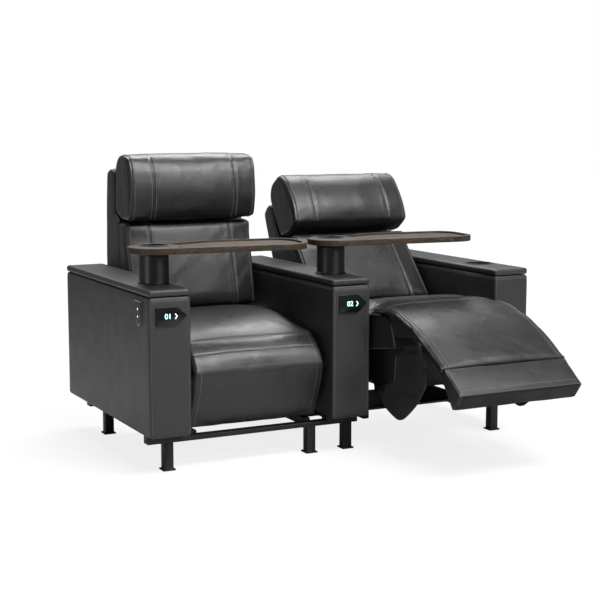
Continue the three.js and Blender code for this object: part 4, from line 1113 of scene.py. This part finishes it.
FOOT = [(101, 136.6, 0), (101, 128, 0.4), (113, 106, 1), (127, 79, 1), (140, 55, 1), (150, 35, 0.8),
        (159, 25, 0.3), (166, 26, 0.1), (220, 56, 0.1), (223, 65, 0), (135.8, 151.9, 0)]
HALF = {"seat": 266, "back": 266, "head": 266, "leg": 255, "foot": 255}
ROOT_NORMAL, FACE_NORMAL = (0.366, 0.93), (0.485, -0.874)


def leg_placed(rows, k):
    """Points of the calf pad, turned about the knee where seat k stands open."""
    a = math.radians(CALF if k == 2 else 0.0)
    out = []
    for y, z, soft in rows:
        dy, dz = y - CALF_PIVOT[0], z - CALF_PIVOT[1]
        out.append((CALF_PIVOT[0] + dy * math.cos(a) + dz * math.sin(a),
                    CALF_PIVOT[1] - dy * math.sin(a) + dz * math.cos(a), soft))
    return out


def foot_held(x, y, z):
    """The foot pad holds at its root and on its lower face."""
    root = (y - 96.9) * ROOT_NORMAL[0] + (z - 136.6) * ROOT_NORMAL[1] > -4
    return 1.0 if root or (y - 166) * FACE_NORMAL[0] + (z - 26) * FACE_NORMAL[1] > -5 else 0.0


def droop(piece):
    """Lowers both sides of the seat behind the knee, where the cushion rolls over its edge."""
    co = vectors(piece.obj.data)
    x, y, z = (co / MM).T
    s, t, u = (np.clip(v, 0, 1) for v in ((np.abs(x) - 190) / 72, (y - 92) / 70, (z - 436) / 40))
    co[:, 2] -= 22 * MM * eased(s) * eased(t) * u
    co[:, 1] = np.where(np.abs(x) > TAIL_HALF, np.minimum(y, SEAT_REAR), y) * MM
    set_coords(piece.obj.data, co)


def overhang(piece, k):
    """Widens the front layer of the calf pad, which overhangs the guards beside the board."""
    co = vectors(piece.obj.data)
    x, y, z = (co / MM).T
    p, _, q = leg_placed(LEG_REAR, k)
    run = np.hypot(q[0] - p[0], q[1] - p[1])
    depth = ((y - p[0]) * (q[1] - p[1]) - (z - p[1]) * (q[0] - p[0])) / run
    co[:, 0] *= 1 + 0.031 * eased(np.clip((-depth - 14) / 10, 0, 1))
    set_coords(piece.obj.data, co)
    piece.tree = tree_of(piece.obj.data)


softs = {}
for k in (1, 2):
    leg_profile = [*leg_placed(LEG_FRONT + LEG_TOE[k] + LEG_REAR, k), *LEG_KNEE[k]]
    for kind, profile, edge, crown, held, more in (
            ("seat", SEAT[k], 30, 6, lambda x, y, z: 1.0 if z < 440 else 0.0, ()),
            ("back", BACK, 22, 5, lambda x, y, z: 1.0 if y > 700 + (z - 492) * 0.083 else 0.0, ()),
            ("head", HEAD, 20, 5, lambda x, y, z: 1.0 if y > 776 else 0.0, (11.0, 4.0, 6.0, 4)),
            ("leg", leg_profile, 14, 5, lambda x, y, z: 1.0 if abs(z - 137) + abs(y - 97) < 14 else 0.0,
             (8.0, 3.0, 6.0, 3)),
            ("foot", FOOT, 10, 3, foot_held, (6.0, 3.0, 4.0, 2))):
        softs[kind, k] = Soft(f"{kind}_pad_{k}", profile, HALF[kind], edge, crown, held, *more)

for step in range(1, 21):
    scene.frame_set(step)
for piece in softs.values():
    piece.settle()
scene.frame_set(1)

SEAM_X, CHANNEL_DEPTH, CHANNEL_STITCH = 168.0, 1.8, (7.5, 5.4, 0.9)


def seamed_front(piece, seed, first, last, side_seam):
    """Two sewn channels down the front and a seam round each end, with their stitching."""
    def amount(x, y, z, no):
        sewn = np.abs(x) - SEAM_X
        facing = np.clip(-no[:, 1] * 1.6 + np.abs(no[:, 2]) * 0.9, 0, 1)
        channel = dip(sewn, 3.4) * facing
        swell = dip(np.abs(sewn) - 15.0, 9.0) * 0.8 * facing
        pucker = ripple(x * 0.3, y, z, seed, 24.0) * dip(sewn, 24.0) * 0.22
        end = dip(np.abs(x) - side_seam, 3.0)
        return (-CHANNEL_DEPTH * channel + swell - 2.6 * end + pucker + 0.7 * ripple(x, y, z, seed + 1, 150.0)
                + 0.35 * ripple(x, y * 1.4, z, seed + 2, 60.0))

    piece.push(amount)
    trims = Trims()
    for side in SIDES:
        for off in (-8.0, 8.0):
            trims.sew(piece.along(side * SEAM_X + off, first, last), *CHANNEL_STITCH)
        trims.sew(piece.along(side * (side_seam - 7.0), first, last, 20.0))
        trims.pipe(piece.along(side * side_seam, 0.0, 1.0, 45.0)[:-1], 1.9, closed=True)
    trims.join(piece.obj)


def hang(piece, kind, k, body, node):
    ready(piece.obj, FRAMES[k][kind], body, [node])


CREASE = {1: ((62.0, 402.0), (-0.75, 0.65)), 2: ((150.0, 474.0), (-0.15, 0.98))}
LEG_SEAM = {1: (-0.3, 0.26), 2: (-0.22, 0.27)}
LEG_PIPING = {1: ("leather", (0.0, 40.0)), 2: ("piping", (0.0, 40.0), (13.0, 5.0))}
LEG_BLEND = {1: ((100.0, 460.0), (80.0, 280.0)), 2: ((40.0, 430.0), (-150.0, 330.0))}
SEAT_SEAM, FOOT_SEAM, SHELL_SEAM, SHELL_HALF, SHELL_CROSS_SEAM = 252.0, 247.0, 249.0, 263, 880.0
for k in (1, 2):
    where = FRAMES[k]
    seamed_front(softs["head", k], 10 + k, 0.42, 1.0, 250.0)
    hang(softs["head", k], "head", k, f"head_{k}", f"head_cushion_{k}")
    seamed_front(softs["back", k], 20 + k, 0.52, 1.0, 252.0)
    hang(softs["back", k], "back", k, f"back_{k}", f"back_cushion_{k}")

    seat, trims = softs["seat", k], Trims()
    droop(seat)
    seat.push(lambda x, y, z, no: -2.0 * dip(np.abs(x) - SEAT_SEAM, 3.2) * (z > 446)
              + 1.1 * ripple(x, y, z, 31 + k, 190.0) * (no[:, 2] > 0.2))
    for side in SIDES:
        trims.sew(seat.along(side * (SEAT_SEAM - 8.0), 0.46, 0.8, 15.0))
        trims.pipe(seat.along(side * SEAT_SEAM, 0.45, 0.8, 40.0), 1.8, "leather")
    trims.join(seat.obj)
    hang(seat, "seat", k, f"seat_{k}", f"seat_cushion_{k}")

    leg, trims = softs["leg", k], Trims()
    width = HALF["leg"] - 9.0
    crease, look = CREASE[k]

    def leg_amount(x, y, z, no):
        across = (y - crease[0]) * look[1] - (z - crease[1]) * look[0]
        near = np.hypot(y - crease[0], z - crease[1]) < 30
        return (-1.8 * dip(across, 3.4) * near - 2.2 * dip(np.abs(x) - width, 3.2)
                + 0.9 * ripple(x, y, z, 41, 170.0) + 0.4 * ripple(x, y, z, 42, 70.0))

    droop(leg)
    leg.push(leg_amount)
    overhang(leg, k)
    for off in (-5.5, 5.5):
        trims.sew(leg.across((crease[0] + off * look[1], crease[1] - off * look[0]), look, width - 8))
    first, last = LEG_SEAM[k]
    material, *rows = LEG_PIPING[k]
    for side in SIDES:
        for inset, tilt in rows:
            trims.pipe(leg.along(side * (width - inset), first, last, tilt), 1.8, material)
        trims.sew(leg.along(side * (width - 20.0), first + 0.02, last - 0.02, 5.0))
    trims.join(leg.obj)
    ready(leg.obj, where["seat"], None, [f"calf_pad_{k}"])
    start, end = (where["seat"] @ Vector((0.0, p[0] * MM, p[1] * MM)) for p in LEG_BLEND[k])
    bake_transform(leg.obj, f"seat_{k}", f"leg_rest_{k}", start=tuple(start), end=tuple(end))

    foot, trims = softs["foot", k], Trims()
    foot.push(lambda x, y, z, no: -1.4 * dip(np.abs(x) - FOOT_SEAM, 3.0) + 0.5 * ripple(x, y, z, 51, 120.0))
    for side in SIDES:
        trims.pipe(foot.along(side * FOOT_SEAM, 0.0, 0.45, 40.0), 1.7)
    trims.pipe(foot.across((158.0, 27.0), (-0.45, -0.89), 246), 1.8)
    trims.sew(foot.across((146.0, 42.0), (-0.9, -0.43), 243))
    trims.join(foot.obj)
    # The faces that look down and forward under the flap's toe take the darker vinyl, partly as painted shade
    # on the flap's underside.
    mesh = foot.obj.data
    mesh.materials.append(MAT["vinyl_shade"])
    for p in mesh.polygons:
        facing = p.normal.y * FACE_NORMAL[0] + p.normal.z * FACE_NORMAL[1]
        if p.material_index == 0 and facing > 0.72 and p.center.y > 158 * MM:
            p.material_index = len(mesh.materials) - 1
    hang(foot, "flap", k, f"flap_{k}", f"foot_flap_{k}")

    loop = smooth_loop(SHELL, 7.0)
    shell = made(f"back_cover_{k}", *loft(loop, SHELL_HALF, 16, 0, 0.0, 20.0), ["panel"])
    modify(shell, "REMESH", mode="VOXEL", voxel_size=6.0 * MM, use_smooth_shade=True)
    modify(shell, "SMOOTH", factor=0.5, iterations=3)
    modify(shell, "SUBSURF", levels=1)
    cover, trims = Surface(bake(shell), loop), Trims()
    cover.push(lambda x, y, z, no: -2.0 * dip(np.abs(x) - SHELL_SEAM, 3.2)
               - 1.8 * dip(z - SHELL_CROSS_SEAM, 3.2) * (no[:, 1] > 0.3)
               + 0.7 * ripple(x, y, z, 61 + k, 210.0))
    for side in SIDES:
        trims.sew(cover.along(side * (SHELL_SEAM - 7.0), 0.05, 0.62, 15.0))
        trims.pipe(cover.along(side * SHELL_SEAM, 0.05, 0.7, 40.0), 1.8)
        trims.plate(link_loop(*BACK_PIVOT, 13, 745, 480, 12), side * 250.5, side * 260.5, "metal")
        pin = link_loop(*HEAD_PIVOT, 5, HEAD_PIVOT[0] + 25, HEAD_PIVOT[1], 5)
        trims.plate(pin, side * 90.3, side * 97.3, "metal", 0.8)
    for off in (-6.0, 6.0):
        trims.sew(cover.across((905.0, SHELL_CROSS_SEAM + off), (1.0, 0.0), 240))
    trims.join(shell)
    ready(shell, where["back"], f"back_{k}", [f"back_shell_{k}"])

# Camera
AZ, PITCH_DOWN, LENS = -0.4721, 0.1333, 81.26
camera = linked("camera", bpy.data.cameras.new("camera"))
camera.data.lens = LENS
camera.data.sensor_fit = "HORIZONTAL"
camera.data.sensor_width = 36.0
camera.location = Vector((-2.3624, -4.2171, 1.2129)) + SHIFT
camera.rotation_euler = (math.pi / 2 - PITCH_DOWN, 0.0, AZ)
camera.data.clip_start, camera.data.clip_end = 0.05, 60.0
scene.camera = camera

# Light
AMBIENT, GLOSSY_SHARE, WHITE = 0.07, 0.2, (1, 1, 1, 1)
world = bpy.data.worlds.new("studio")
scene.world = world
world.use_nodes = True
tree = world.node_tree
tree.nodes.clear()
path = tree.nodes.new("ShaderNodeLightPath")
white = wired(tree, "Background", {}, (0, WHITE), (1, 1.0))
ambient = wired(tree, "Background", {}, (0, WHITE), (1, AMBIENT))
seen = wired(tree, "Math", {"operation": "MAXIMUM"}, (0, path.outputs["Is Camera Ray"]),
             (1, path.outputs["Is Transmission Ray"]))
mirrored = wired(tree, "Math", {"operation": "MULTIPLY"}, (0, path.outputs["Is Glossy Ray"]),
                 (1, GLOSSY_SHARE))
either = wired(tree, "Math", {"operation": "MAXIMUM"}, (0, seen.outputs[0]), (1, mirrored.outputs[0]))
sky = wired(tree, "MixShader", {}, (0, either.outputs[0]), (1, ambient.outputs[0]), (2, white.outputs[0]))
wired(tree, "OutputWorld", {}, (0, sky.outputs[0]))

for name, spot, aim, size, power in (
        ("top_front", (0.5, -1.9, 3.4), (0.0, -0.1, 0.6), (2.6, 1.5), 205),
        ("front", (1.2, -3.5, 2.1), (0.0, 0.0, 0.6), (1.4, 1.2), 45),
        ("back_top", (0.4, 1.9, 3.1), (0.0, -0.1, 0.5), (3.4, 1.4), 145),
        ("left", (-4.4, -1.0, 0.8), (0.0, 0.0, 0.4), (1.8, 1.2), 24)):
    lamp = linked(name, bpy.data.lights.new(name, "AREA"))
    lamp.data.shape = "RECTANGLE"
    lamp.data.size, lamp.data.size_y = size
    lamp.data.energy = power
    lamp.location = spot
    lamp.rotation_euler = (Vector(aim) - Vector(spot)).to_track_quat("-Z", "Y").to_euler()

# Floor: for the camera it is white where nothing stands, with the seats' soft shadow, and far off it
# is the white of the backdrop
FLOOR_SHADE, NEAR, FAR, FLOOR_LEVEL, FLOOR_HALF, GLOW = 0.22, 1.1, 2.4, -0.0005, 9, 1.06
b = Build("floor")
for key, value in (("Base Color", (0.7, 0.7, 0.7, 1)), ("Roughness", 0.9), ("Specular IOR Level", 0.1)):
    b.shader.inputs[key].default_value = value
plain = b.add("Emission", {}, (0, WHITE), (1, GLOW))
reach = b.add("VectorMath", {"operation": "LENGTH"}, (0, b.place)).outputs["Value"]
fade = b.add("MapRange", {}, (0, reach), (1, NEAR), (2, FAR), (3, 1 - FLOOR_SHADE), (4, 1.0)).outputs[0]
level = b.math("MULTIPLY", b.add("LightPath").outputs["Is Camera Ray"], fade)
surface = b.add("MixShader", {}, (0, level), (1, b.shader.outputs[0]), (2, plain.outputs[0]))
b.tree.links.new(surface.outputs[0], b.out.inputs[0])
corners = [(u * FLOOR_HALF, v * FLOOR_HALF, FLOOR_LEVEL) for u, v in ((-1, -1), (1, -1), (1, 1), (-1, 1))]
floor = made("floor", corners, [(0, 1, 2, 3)], [])
floor.data.materials.append(b.mat)

scene.view_settings.view_transform = "Standard"
